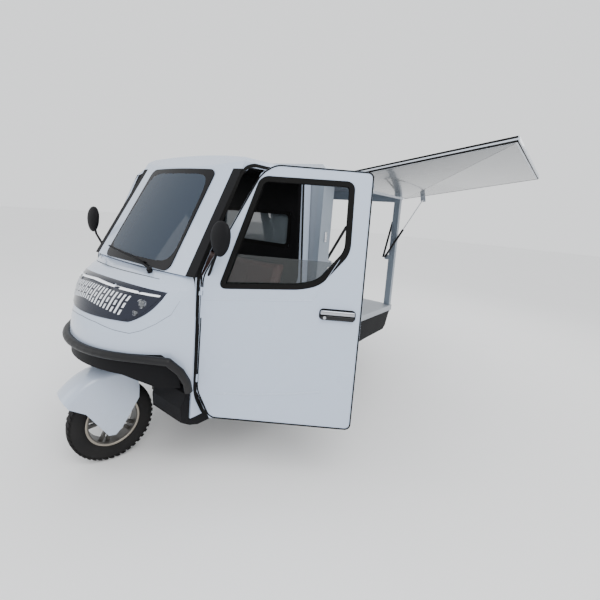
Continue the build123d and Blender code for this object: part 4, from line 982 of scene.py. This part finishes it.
@dataclass
class Nose:
    """The lamps, the light strip and the bars on the front."""

    shop: Shop

    def __post_init__(self) -> None:
        """Take the surfaces that the pieces lie on."""
        self.skins = [self.surface(node) for node in ("nose", "lamp_unit")]

    def surface(self, node: str) -> BVHTree:
        """The surface of a CAD node, for finding points on it."""
        data = self.shop.frame["nodes"][node].data
        return BVHTree.FromPolygons([vert.co.copy() for vert in data.vertices],
                                    [tuple(face.vertices) for face in data.polygons])

    def touch(self, y: float, z: float) -> tuple[Vector, Vector]:
        """The foremost point of the front at this y and z, and its outward normal."""
        best = None
        for skin in self.skins:
            hit, normal, _, _ = skin.ray_cast(Vector((1.6, y, z)), Vector((-1.0, 0.0, 0.0)))
            if hit is not None and (best is None or hit.x > best[0].x):
                best = (hit, normal if normal.x > 0 else -normal)
        return best if best else (Vector((0.8, y, z)), Vector((1.0, 0.0, 0.0)))

    def drape(self, columns: int, rows: int, place: Callable[[float, float], tuple[float, float]],
              lift: float, depth: float) -> bmesh.types.BMesh:
        """Lay a sheet over the front.

        Args:
            columns: how many faces it has along its length.
            rows: how many across.
            place: gives y and z for a place along and across, each from nothing to one.
            lift: how far over the skin its face stands.
            depth: how thick it is.

        Returns:
            The sheet's mesh.
        """
        mesh = bmesh.new()
        bmesh.ops.create_grid(mesh, x_segments=columns, y_segments=rows, size=0.5)
        for vert in mesh.verts:
            y, z = place(vert.co.x + 0.5, vert.co.y + 0.5)
            point, _ = self.touch(y, z)
            vert.co = point + Vector((lift - depth, 0.0, 0.0))
        bmesh.ops.remove_doubles(mesh, verts=mesh.verts[:], dist=0.00002)
        thicken(mesh, Vector((1.0, 0.0, 0.0)), depth)
        return mesh

    def lens(self) -> None:
        """The dark lens across the front, over the lamps."""
        def place(u: float, v: float) -> tuple[float, float]:
            y = 0.415 - 0.83 * u
            edge = abs(y)
            top = 1.046 - 0.030 * (edge / 0.415) ** 2.2
            low = 0.896 - 0.030 * math.cos(min(edge / 0.30, 1.0) * math.pi) * -0.5 - 0.015
            if edge > 0.294:
                low = 0.866 + (top - 0.866) * ((edge - 0.294) / 0.121) ** 1.5
            return y, low + (top - low) * v
        self.shop.piece("lens", self.drape(64, 12, place, 0.0030, 0.0026), "lamp_lens", "root", "lamp_lens",
                        smooth=50.0)

    def strip(self) -> None:
        """The light strip along the lens's upper edge."""
        def place(u: float, v: float) -> tuple[float, float]:
            y = 0.398 - 0.796 * u
            return y, 1.030 - 0.030 * (abs(y) / 0.398) ** 1.3 + 0.0070 * (v - 0.5)
        self.shop.piece("light_strip", self.drape(72, 1, place, 0.0125, 0.0090), "led_white", "root",
                        "lamp_lens", smooth=50.0)

    def bars(self) -> None:
        """The bright bars between the lamps, one solid, the next in dashes."""
        mesh = bmesh.new()
        count = 24
        for index in range(count):
            share = index / (count - 1)
            y = 0.262 - 0.524 * share
            top = 1.012 - 0.028 * (abs(y) / 0.29) ** 1.6
            low = 0.934 - 0.036 * (abs(y) / 0.25) ** 1.4
            lean = -0.022 - 0.010 * (1.0 - share)
            cuts = ((0.0, 1.0),) if index % 2 else ((0.0, 0.26), (0.37, 0.63), (0.74, 1.0))
            for start, end in cuts:
                def place(u: float, v: float) -> tuple[float, float]:
                    at = start + (end - start) * u
                    return y + lean * (at - 0.5) + 0.0086 * (v - 0.5), top + (low - top) * at
                join(mesh, self.drape(3, 1, place, 0.0058, 0.0030))
        self.shop.piece("bright_bars", mesh, "bar_white", "root", "lamp_lens")

    def lamp(self, side: Side) -> None:
        """One headlamp's projector in its chrome ring.

        Args:
            side: which lamp.
        """
        name = side.name.lower()
        for title, y, z, radius in (("main", 0.335, 0.958, 0.024), ("low", 0.318, 0.912, 0.015)):
            point, normal = self.touch(side.value * y, z)
            facing = (normal + Vector((0.6, 0.0, 0.0))).normalized()
            ring = bmesh.new()
            tube(ring, point - facing * 0.004, point + facing * 0.0055, radius, radius * 0.9, 32)
            cap = max(ring.faces, key=lambda face: face.normal.dot(facing) * face.calc_area())
            bmesh.ops.inset_individual(ring, faces=[cap], thickness=radius * 0.22, use_even_offset=True)
            bmesh.ops.translate(ring, vec=-facing * 0.004, verts=cap.verts)
            self.shop.piece(f"lamp_ring_{title}_{name}", ring, "handle_chrome", "root", "lamp_lens")
            eye = bmesh.new()
            bmesh.ops.create_uvsphere(eye, u_segments=24, v_segments=12, radius=radius * 0.72)
            bmesh.ops.scale(eye, vec=(1.0, 1.0, 0.45), verts=eye.verts[:])
            bmesh.ops.rotate(eye, cent=(0, 0, 0), matrix=facing.to_track_quat("Z", "Y").to_matrix(),
                             verts=eye.verts[:])
            bmesh.ops.translate(eye, vec=point + facing * 0.001, verts=eye.verts[:])
            self.shop.piece(f"lamp_eye_{title}_{name}", eye, "lamp_glass", "root", "lamp_lens",
                            smooth=80.0)

    def seams(self) -> None:
        """The fine lines where the bonnet and the lower panel meet the nose."""
        lines = (
            # name, points as y and z, from the middle outward
            ("bonnet", ((0.0, 1.0765), (0.156, 1.0760), (0.250, 1.0740), (0.333, 1.0700))),
            ("apron", ((0.0, 0.842), (0.121, 0.836), (0.235, 0.818), (0.307, 0.812), (0.352, 0.830),
                       (0.399, 0.865), (0.443, 0.912), (0.463, 0.979))),
        )
        for name, points in lines:
            whole = [(-y, z) for y, z in reversed(points[1:])] + list(points)
            count = len(whole) - 1

            def place(u: float, v: float) -> tuple[float, float]:
                at = min(int(u * count), count - 1)
                rest = u * count - at
                near, far = whole[at], whole[at + 1]
                y, z = (start + (end - start) * rest for start, end in zip(near, far))
                return y, z + 0.0022 * (v - 0.5)
            self.shop.piece(f"seam_{name}", self.drape(count * 6, 1, place, 0.0006, 0.0005), "seam_dark",
                            "root", "body_white")

    def build(self) -> None:
        """Make everything on the front."""
        self.seams()
        self.lens()
        self.strip()
        self.bars()
        for side in Side:
            self.lamp(side)
        LOG.info("lamps, light strip and bars")


@dataclass
class Mirrors:
    """Egg-shaped mirrors on thin stalks, in place of the plain solids."""

    shop: Shop
    size: Point = (0.030, 0.062, 0.085)
    foot: Point = (0.706, 0.512, 1.083)

    def build(self) -> None:
        """Make both mirrors, their glass and their stalks."""
        low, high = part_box("mirrors")
        for side in Side:
            name = side.name.lower()
            middle = Vector((low[0] + 0.038, side.value * (high[1] - 0.062), high[2] - 0.085))
            shell = bmesh.new()
            bmesh.ops.create_uvsphere(shell, u_segments=32, v_segments=20, radius=1.0)
            for vert in shell.verts:
                if vert.co.x < -0.35:
                    vert.co.x = -0.35
                vert.co.y *= 1.0 + 0.16 * vert.co.z
            bmesh.ops.scale(shell, vec=self.size, verts=shell.verts[:])
            bmesh.ops.translate(shell, vec=middle, verts=shell.verts[:])
            face_out(shell)
            body = self.shop.piece(f"mirror_shell_{name}", shell, "black_plastic", "root", "black_plastic",
                                   smooth=50.0)
            face = bmesh.new()
            bmesh.ops.create_circle(face, cap_ends=True, segments=40, radius=1.0)
            bmesh.ops.scale(face, vec=(0.86 * self.size[2], 0.86 * self.size[1], 1.0), verts=face.verts[:])
            turn(face, (0, 0, 0), -90, "Y")
            bmesh.ops.translate(face, vec=middle + Vector((-0.35 * self.size[0] - 0.0005, 0, 0)),
                                verts=face.verts[:])
            thicken(face, Vector((-1, 0, 0)), 0.0012)
            self.shop.piece(f"mirror_glass_{name}", face, "mirror_glass", "root", "black_plastic")
            stalk = bmesh.new()
            foot = (self.foot[0], side.value * self.foot[1], self.foot[2])
            knee = (low[0] + 0.034, side.value * (high[1] - 0.098), middle.z - 0.095)
            top = tuple(middle + Vector((0.0, side.value * -0.018, -0.055)))
            tube(stalk, foot, knee, 0.0075, 0.0065)
            tube(stalk, knee, top, 0.0065, 0.0080)
            bmesh.ops.create_uvsphere(stalk, u_segments=16, v_segments=10, radius=0.0072,
                                      matrix=Matrix.Translation(knee))
            self.shop.piece(f"mirror_stalk_{name}", stalk, "black_plastic", "root", "black_plastic")
            pad = bmesh.new()
            tube(pad, (foot[0], side.value * 0.5115, foot[2]), (foot[0], side.value * 0.520, foot[2]),
                 0.019, 0.015, 24)
            self.shop.piece(f"mirror_foot_{name}", pad, "black_plastic", "root", "black_plastic")
            if side is Side.LEFT:
                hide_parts("mirrors")
        LOG.info("mirrors")


@dataclass
class Box:
    """The cargo box's panel skins, rubber lips, latches and the slot along the roof's edge; the panels' inner
    skins and the slot are dark grey painted shade.
    """

    shop: Shop
    rear: float = -1.539
    front: float = -0.160
    half: float = 0.588
    hinge_y: float = 0.604
    hinge_z: float = 1.685
    inner_y: float = 0.604
    thick: float = 0.028
    low: float = 0.567
    opened: tuple = (
        # side, body, how far its panel is raised in degrees about +X
        (Side.LEFT, "left_panel", 100.5),
        (Side.RIGHT, "right_panel", 0.0),
    )
    gate_x: float = -1.544
    gate_low: float = 0.640
    gate_half: float = 0.599
    gate_hinge: Point = (-1.545, 0.0, 1.740)
    gate_deg: float = 102.0

    def swing(self, mesh: bmesh.types.BMesh, side: Side, degrees: float) -> None:
        """Take a mesh made on the shut left panel to its own side and place.

        Args:
            mesh: the mesh.
            side: whose panel.
            degrees: how far it is raised.
        """
        if side is Side.RIGHT:
            bmesh.ops.scale(mesh, vec=(1.0, -1.0, 1.0), verts=mesh.verts[:])
            bmesh.ops.reverse_faces(mesh, faces=mesh.faces[:])
        turn(mesh, (0.0, side.value * self.hinge_y, self.hinge_z), side.value * degrees, "X")

    def panel(self, side: Side, body: str, degrees: float) -> None:
        """One side panel's inner skin, dark grey as painted shade on its underside, its lips and latches.

        Args:
            side: whose panel.
            body: the panel's body.
            degrees: how far it is raised.
        """
        name = side.name.lower()
        top = self.hinge_z - 0.030
        # the inner skin's dark grey is painted shade on the raised panel's underside
        inner = lay_flat(((self.rear + 0.022, self.low + 0.022), (self.front - 0.022, self.low + 0.022),
                          (self.front - 0.022, top), (self.rear + 0.022, top)), 0.008, 3)
        face = inner.faces[:]
        bmesh.ops.translate(inner, vec=(0.0, self.inner_y - 0.0004, 0.0), verts=inner.verts[:])
        bmesh.ops.inset_individual(inner, faces=face, thickness=0.012, use_even_offset=True)
        bmesh.ops.translate(inner, vec=(0.0, -0.0022, 0.0), verts=face[0].verts[:])
        thicken(inner, Vector((0, 1, 0)), -0.0004)
        self.swing(inner, side, degrees)
        face_out(inner)
        self.shop.piece(f"painted_shade_grey_{name}", inner, "painted_shade_grey", body, "panel_white")
        lips = bmesh.new()
        outer = self.inner_y + self.thick
        reach = 0.0010
        edge = self.low + 0.006
        for low_y, high_y in ((self.inner_y - 0.0020, self.inner_y + 0.009), (outer - 0.010, outer + 0.0010)):
            block(lips, (self.rear - reach, low_y, edge), (self.front + reach, high_y, edge + 0.006))
            block(lips, (self.rear - reach, low_y, edge), (self.rear + 0.005, high_y, top + 0.02))
            block(lips, (self.front - 0.005, low_y, edge), (self.front + reach, high_y, top + 0.02))
        soften(lips, 0.0014)
        self.swing(lips, side, degrees)
        face_out(lips)
        self.shop.piece(f"panel_lips_{name}", lips, "seal_rubber", body, "black_plastic")
        latch = bmesh.new()
        x = -0.383
        z = self.low + 0.075
        block(latch, (x - 0.030, outer, z - 0.045), (x + 0.030, outer + 0.004, z + 0.045))
        tube(latch, (x, outer + 0.003, z), (x, outer + 0.016, z), 0.009, 0.008)
        block(latch, (x - 0.042, outer + 0.012, z - 0.007), (x + 0.042, outer + 0.021, z + 0.007))
        soften(latch, 0.0016)
        self.swing(latch, side, degrees)
        face_out(latch)
        self.shop.piece(f"panel_latch_{name}", latch, "black_plastic", body, "black_plastic")

    def gate(self) -> None:
        """The tailgate's lips and its handle."""
        lips = bmesh.new()
        edge = self.gate_low + 0.006
        wide = self.gate_half + 0.004
        for near, far in ((self.gate_x - 0.009, self.gate_x + 0.0015),
                          (self.gate_x - 0.029, self.gate_x - 0.019)):
            block(lips, (near, -wide, edge), (far, wide, edge + 0.006))
            for start, end in ((self.gate_half - 0.0005, wide), (-wide - 0.0005, -self.gate_half)):
                block(lips, (near, start, edge), (far, end, 1.715))
        soften(lips, 0.0010)
        handle = bmesh.new()
        outer = self.gate_x - self.thick
        block(handle, (outer - 0.004, -0.060, 0.690), (outer, 0.060, 0.760))
        block(handle, (outer - 0.0145, -0.045, 0.718), (outer - 0.0075, 0.045, 0.732))
        tube(handle, (outer - 0.009, 0.0, 0.725), (outer - 0.002, 0.0, 0.725), 0.008, 0.009)
        for mesh, title, finish in ((lips, "lips", "seal_rubber"), (handle, "handle", "black_plastic")):
            turn(mesh, self.gate_hinge, self.gate_deg, "Y")
            face_out(mesh)
            self.shop.piece(f"tailgate_{title}", mesh, finish, "tailgate", "black_plastic")

    def trim(self) -> None:
        """Latches on the posts, the slot along the roof's edge as a dark strip of painted shade, and the
        tray's double flange.
        """
        for side in Side:
            name = side.name.lower()
            out = side.value
            latch = bmesh.new()
            face = out * self.half
            for x in (self.rear + 0.020, self.front - 0.065):
                made = block(latch, (x - 0.012, face, 1.275), (x + 0.012, face + out * 0.007, 1.345))
                soften(latch, 0.002, verts=made)
                tube(latch, (x, face + out * 0.004, 1.288), (x, face + out * 0.0105, 1.288), 0.006, 0.005)
            self.shop.piece(f"post_latches_{name}", latch, "rod_chrome", "root", "rod_chrome")
            # a dark strip of painted shade standing for the slot along the roof's edge
            slot = bmesh.new()
            edge = out * (self.half + 0.0106)
            block(slot, (self.rear + 0.060, edge, 1.704), (self.front - 0.060, edge - out * 0.004, 1.722))
            self.shop.piece(f"roof_slot_{name}", slot, "painted_shade_grey", "root", "panel_white")
            flange = bmesh.new()
            lip = out * self.gate_half
            for low, high in ((0.6225, 0.6295), (0.581, 0.588)):
                made = block(flange, (self.rear, lip, low), (self.front, lip + out * 0.0014, high))
                soften(flange, 0.0008, verts=made)
            self.shop.piece(f"tray_flange_{name}", flange, "tray_steel", "root", "tray_steel")

    def build(self) -> None:
        """Make everything on the cargo box."""
        for side, body, degrees in self.opened:
            self.panel(side, body, degrees)
        self.gate()
        self.trim()
        LOG.info("cargo box skins, lips and latches")


@dataclass
class Wheels:
    """Tread blocks and rim lips of the three wheels."""

    shop: Shop
    radius: float = 0.218
    pitches: int = 44
    rim_lip: tuple = ((0.1245, 0.0425), (0.1275, 0.0452), (0.1325, 0.0462), (0.1365, 0.0450),
                      (0.1365, 0.0425))
    names: tuple = ("front", "rear_left", "rear_right")

    def spot(self, body: str) -> Matrix:
        """Where a wheel's middle stands, with its axle along Y.

        Args:
            body: the wheel's body.

        Returns:
            The place as a matrix.
        """
        joints = self.shop.frame["record"]["behaviour"]["joints"]
        joint = next(row for row in joints if row["child"] == body)
        axis = Vector(joint["axis"]).normalized()
        side = Vector((0, 0, 1)).cross(axis).normalized() * -1.0
        up = side.cross(axis)
        turned = Matrix((side, axis, up)).transposed()
        return Matrix.Translation(Vector(joint["pos_m"])) @ turned.to_4x4()

    def tread(self, name: str, body: str, place: Matrix) -> None:
        """The tyre's angled tread blocks, in two staggered rows.

        Args:
            name: which wheel.
            body: its body.
            place: where its middle stands.
        """
        mesh = bmesh.new()
        for index in range(self.pitches):
            around = 2 * math.pi * index / self.pitches
            for side, shift in ((-1, 0.0), (1, 0.5)):
                made = block(mesh, (-0.0085, 0.004, -0.0060), (0.0085, 0.040, 0.0006))
                for vert in made:
                    vert.co.x += vert.co.y * 0.35
                    vert.co.z -= 6.2 * max(vert.co.y - 0.012, 0.0) ** 2
                    vert.co.y *= side
                angle = around + shift * 2 * math.pi / self.pitches
                matrix = Matrix.Rotation(angle, 4, "Y") @ Matrix.Translation((0, 0, self.radius - 0.0008))
                bmesh.ops.transform(mesh, matrix=matrix, verts=made)
        bmesh.ops.transform(mesh, matrix=place, verts=mesh.verts[:])
        face_out(mesh)
        self.shop.piece(f"tread_{name}", mesh, "tyre_rubber", body, "tyre_rubber")

    def lips(self, name: str, body: str, place: Matrix) -> None:
        """The bright lip on each side of a rim.

        Args:
            name: which wheel.
            body: its body.
            place: where its middle stands.
        """
        mesh = bmesh.new()
        for side in (-1, 1):
            ring = bmesh.new()
            start = [ring.verts.new((radius, side * across, 0.0)) for radius, across in self.rim_lip]
            edges = [ring.edges.new(pair) for pair in zip(start, start[1:])]
            edges.append(ring.edges.new((start[-1], start[0])))
            bmesh.ops.spin(ring, geom=start + edges, cent=(0, 0, 0), axis=(0, 1, 0), angle=2 * math.pi,
                           steps=72, use_merge=True)
            bmesh.ops.remove_doubles(ring, verts=ring.verts[:], dist=0.00001)
            face_out(ring)
            join(mesh, ring)
        bmesh.ops.transform(mesh, matrix=place, verts=mesh.verts[:])
        self.shop.piece(f"rim_lips_{name}", mesh, "rim_lip", body, "rim_black", smooth=50.0)

    def build(self) -> None:
        """Make everything on the wheels."""
        for name in self.names:
            body = f"{name}_wheel"
            place = self.spot(body)
            self.tread(name, body, place)
            self.lips(name, body, place)
        LOG.info("treads and rim lips")


@dataclass
class Seats:
    """The driver's padded bench and its back rest."""

    shop: Shop
    voxel: float = 0.006
    margin: float = 0.010
    cap: float = 0.014
    seam_reach: float = 0.022
    seams: tuple = (-0.138, 0.138)
    pads: tuple = (
        # node, fill
        ("seat_cushion", 0.75),
        ("seat_back", 0.70),
    )

    def inflate(self, item: bpy.types.Object) -> None:
        """Swell a pad with a short cloth simulation, no point moving further than the cap.

        Args:
            item: the pad.
        """
        before = [vert.co.copy() for vert in item.data.vertices]
        cloth = item.modifiers.new("Cloth", "CLOTH")
        cloth.settings.use_pressure = True
        cloth.settings.uniform_pressure_force = 4.0
        cloth.settings.effector_weights.gravity = 0.0
        cloth.point_cache.frame_start = 1
        cloth.point_cache.frame_end = 20
        scene = bpy.context.scene
        for step in range(1, 21):
            scene.frame_set(step)
        graph = bpy.context.evaluated_depsgraph_get()
        puffed = bpy.data.meshes.new_from_object(item.evaluated_get(graph))
        item.modifiers.remove(cloth)
        scene.frame_set(1)
        for vert, old, new in zip(item.data.vertices, before, puffed.vertices):
            move = new.co - old
            if move.length > self.cap:
                move = move.normalized() * self.cap
            vert.co = old + move
        bpy.data.meshes.remove(puffed)

    def pad(self, node: str, fill: float) -> None:
        """One padded piece in place of a plain solid.

        Args:
            node: the solid it stands for.
            fill: how full it is; not used.
        """
        mesh = bmesh.new()
        mesh.from_mesh(self.shop.frame["nodes"][node].data)
        bmesh.ops.remove_doubles(mesh, verts=mesh.verts[:], dist=0.00005)
        low, high = (Vector(corner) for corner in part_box(node))
        middle = (low + high) / 2
        for vert in mesh.verts:
            away = vert.co - middle
            size = (high - low) / 2
            for index in range(3):
                vert.co[index] = middle[index] + away[index] * (1.0 - self.margin / size[index])
        face_out(mesh)
        item = self.shop.piece(f"{node}_pad", mesh, "seat_vinyl", "root", "seat_vinyl", smooth=180.0)
        bpy.context.view_layer.objects.active = item
        remesh = item.modifiers.new("Remesh", "REMESH")
        remesh.mode = "VOXEL"
        remesh.voxel_size = self.voxel * 1.0
        graph = bpy.context.evaluated_depsgraph_get()
        fine = bpy.data.meshes.new_from_object(item.evaluated_get(graph))
        item.modifiers.remove(remesh)
        old = item.data
        item.data = fine
        bpy.data.meshes.remove(old)
        self.inflate(item)
        for vert in item.data.vertices:
            across = vert.co.y
            for seam in self.seams:
                gap = abs(across - seam)
                if gap < self.seam_reach:
                    toward = middle - Vector((vert.co.x, middle.y, vert.co.z))
                    vert.co += toward.normalized() * 0.007 * (1.0 - gap / self.seam_reach) ** 2
        item.data.materials.clear()
        item.data.materials.append(self.shop.finishes.get("seat_vinyl"))
        item.data.shade_smooth()
        smooth = item.modifiers.new("Subdivision", "SUBSURF")
        smooth.levels = 1
        smooth.render_levels = 1
        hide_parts(node)

    def build(self) -> None:
        """Make both pads."""
        for node, fill in self.pads:
            self.pad(node, fill)
        LOG.info("seat pads")


@dataclass
class Studio:
    """Floor, light and camera; none of it belongs to the vehicle."""

    eye: Point = (1.8753, 1.9547, 1.4441)
    turn_deg: float = -144.5048
    pitch_deg: float = -5.8360
    roll_deg: float = 4.8235
    focal_px: float = 361.1436
    centre_px: tuple[float, float] = (308.228, 252.944)
    frame_px: float = 600.0

    def camera(self) -> None:
        """Stand the camera where the photograph was taken from."""
        data = bpy.data.cameras.new("camera")
        data.sensor_fit = "HORIZONTAL"
        data.sensor_width = 36.0
        data.lens = self.focal_px / self.frame_px * data.sensor_width
        data.shift_x = (self.frame_px / 2 - self.centre_px[0]) / self.frame_px
        data.shift_y = (self.centre_px[1] - self.frame_px / 2) / self.frame_px
        data.clip_end = 200.0
        turn, pitch, roll = (math.radians(value) for value in (self.turn_deg, self.pitch_deg, self.roll_deg))
        ahead = Vector((math.cos(turn) * math.cos(pitch), math.sin(turn) * math.cos(pitch), math.sin(pitch)))
        right = ahead.cross(Vector((0, 0, 1))).normalized()
        up = right.cross(ahead)
        side = math.cos(roll) * right + math.sin(roll) * up
        top = math.cos(roll) * up - math.sin(roll) * right
        matrix = Matrix((side, top, -ahead)).transposed().to_4x4()
        matrix.translation = self.eye
        item = bpy.data.objects.new("camera", data)
        item.matrix_world = matrix
        bpy.context.scene.collection.objects.link(item)
        bpy.context.scene.camera = item

    def floor(self) -> None:
        """Lay a wide pale floor."""
        mesh = bmesh.new()
        bmesh.ops.create_grid(mesh, x_segments=1, y_segments=1, size=40.0)
        data = bpy.data.meshes.new("floor")
        mesh.to_mesh(data)
        mesh.free()
        item = bpy.data.objects.new("floor", data)
        bpy.context.scene.collection.objects.link(item)
        tree = Tree("floor")
        tone = tree.blend(tree.noise(1.5), (0.90, 0.90, 0.90), (0.93, 0.93, 0.93))
        data.materials.append(tree.finish(Base_Color=tone, Roughness=0.85))

    def lights(self) -> None:
        """Hang soft lights around the vehicle."""
        world = bpy.data.worlds.new("studio")
        bpy.context.scene.world = world
        world.use_nodes = True
        background = world.node_tree.nodes["Background"]
        background.inputs["Color"].default_value = (0.97, 0.985, 1.0, 1.0)
        background.inputs["Strength"].default_value = 1.35
        table = (
            ("key", (2.6, 3.4, 4.6), (0.0, 0.3, 0.8), 3.2, 170.0),
            ("fill", (4.2, -2.6, 2.6), (0.3, 0.0, 0.8), 3.0, 40.0),
            ("back", (-4.4, 1.0, 4.2), (-0.4, 0.0, 1.0), 3.0, 60.0),
        )
        for name, place, target, size, power in table:
            data = bpy.data.lights.new(name, "AREA")
            data.size = size
            data.energy = power
            item = bpy.data.objects.new(name, data)
            away = (Vector(place) - Vector(target)).to_track_quat("Z", "Y")
            item.matrix_world = Matrix.LocRotScale(Vector(place), away, Vector((1, 1, 1)))
            bpy.context.scene.collection.objects.link(item)

    def build(self) -> None:
        """Set up the whole studio."""
        self.floor()
        self.lights()
        self.camera()


def main() -> None:
    """Build the vehicle's looks in order and report each step."""
    logging.basicConfig(level=logging.INFO, format="%(name)s: %(message)s")
    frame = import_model()
    shop = Shop(frame)
    for node, finish in CAD_FINISH.items():
        shop.dress(node, finish)
    LOG.info("dressed %d CAD nodes", len(CAD_FINISH))
    Cabin(shop).build()
    Nose(shop).build()
    Mirrors(shop).build()
    Box(shop).build()
    Wheels(shop).build()
    Seats(shop).build()
    Studio().build()
    LOG.info("studio ready")


if __name__ == "__main__":
    main()
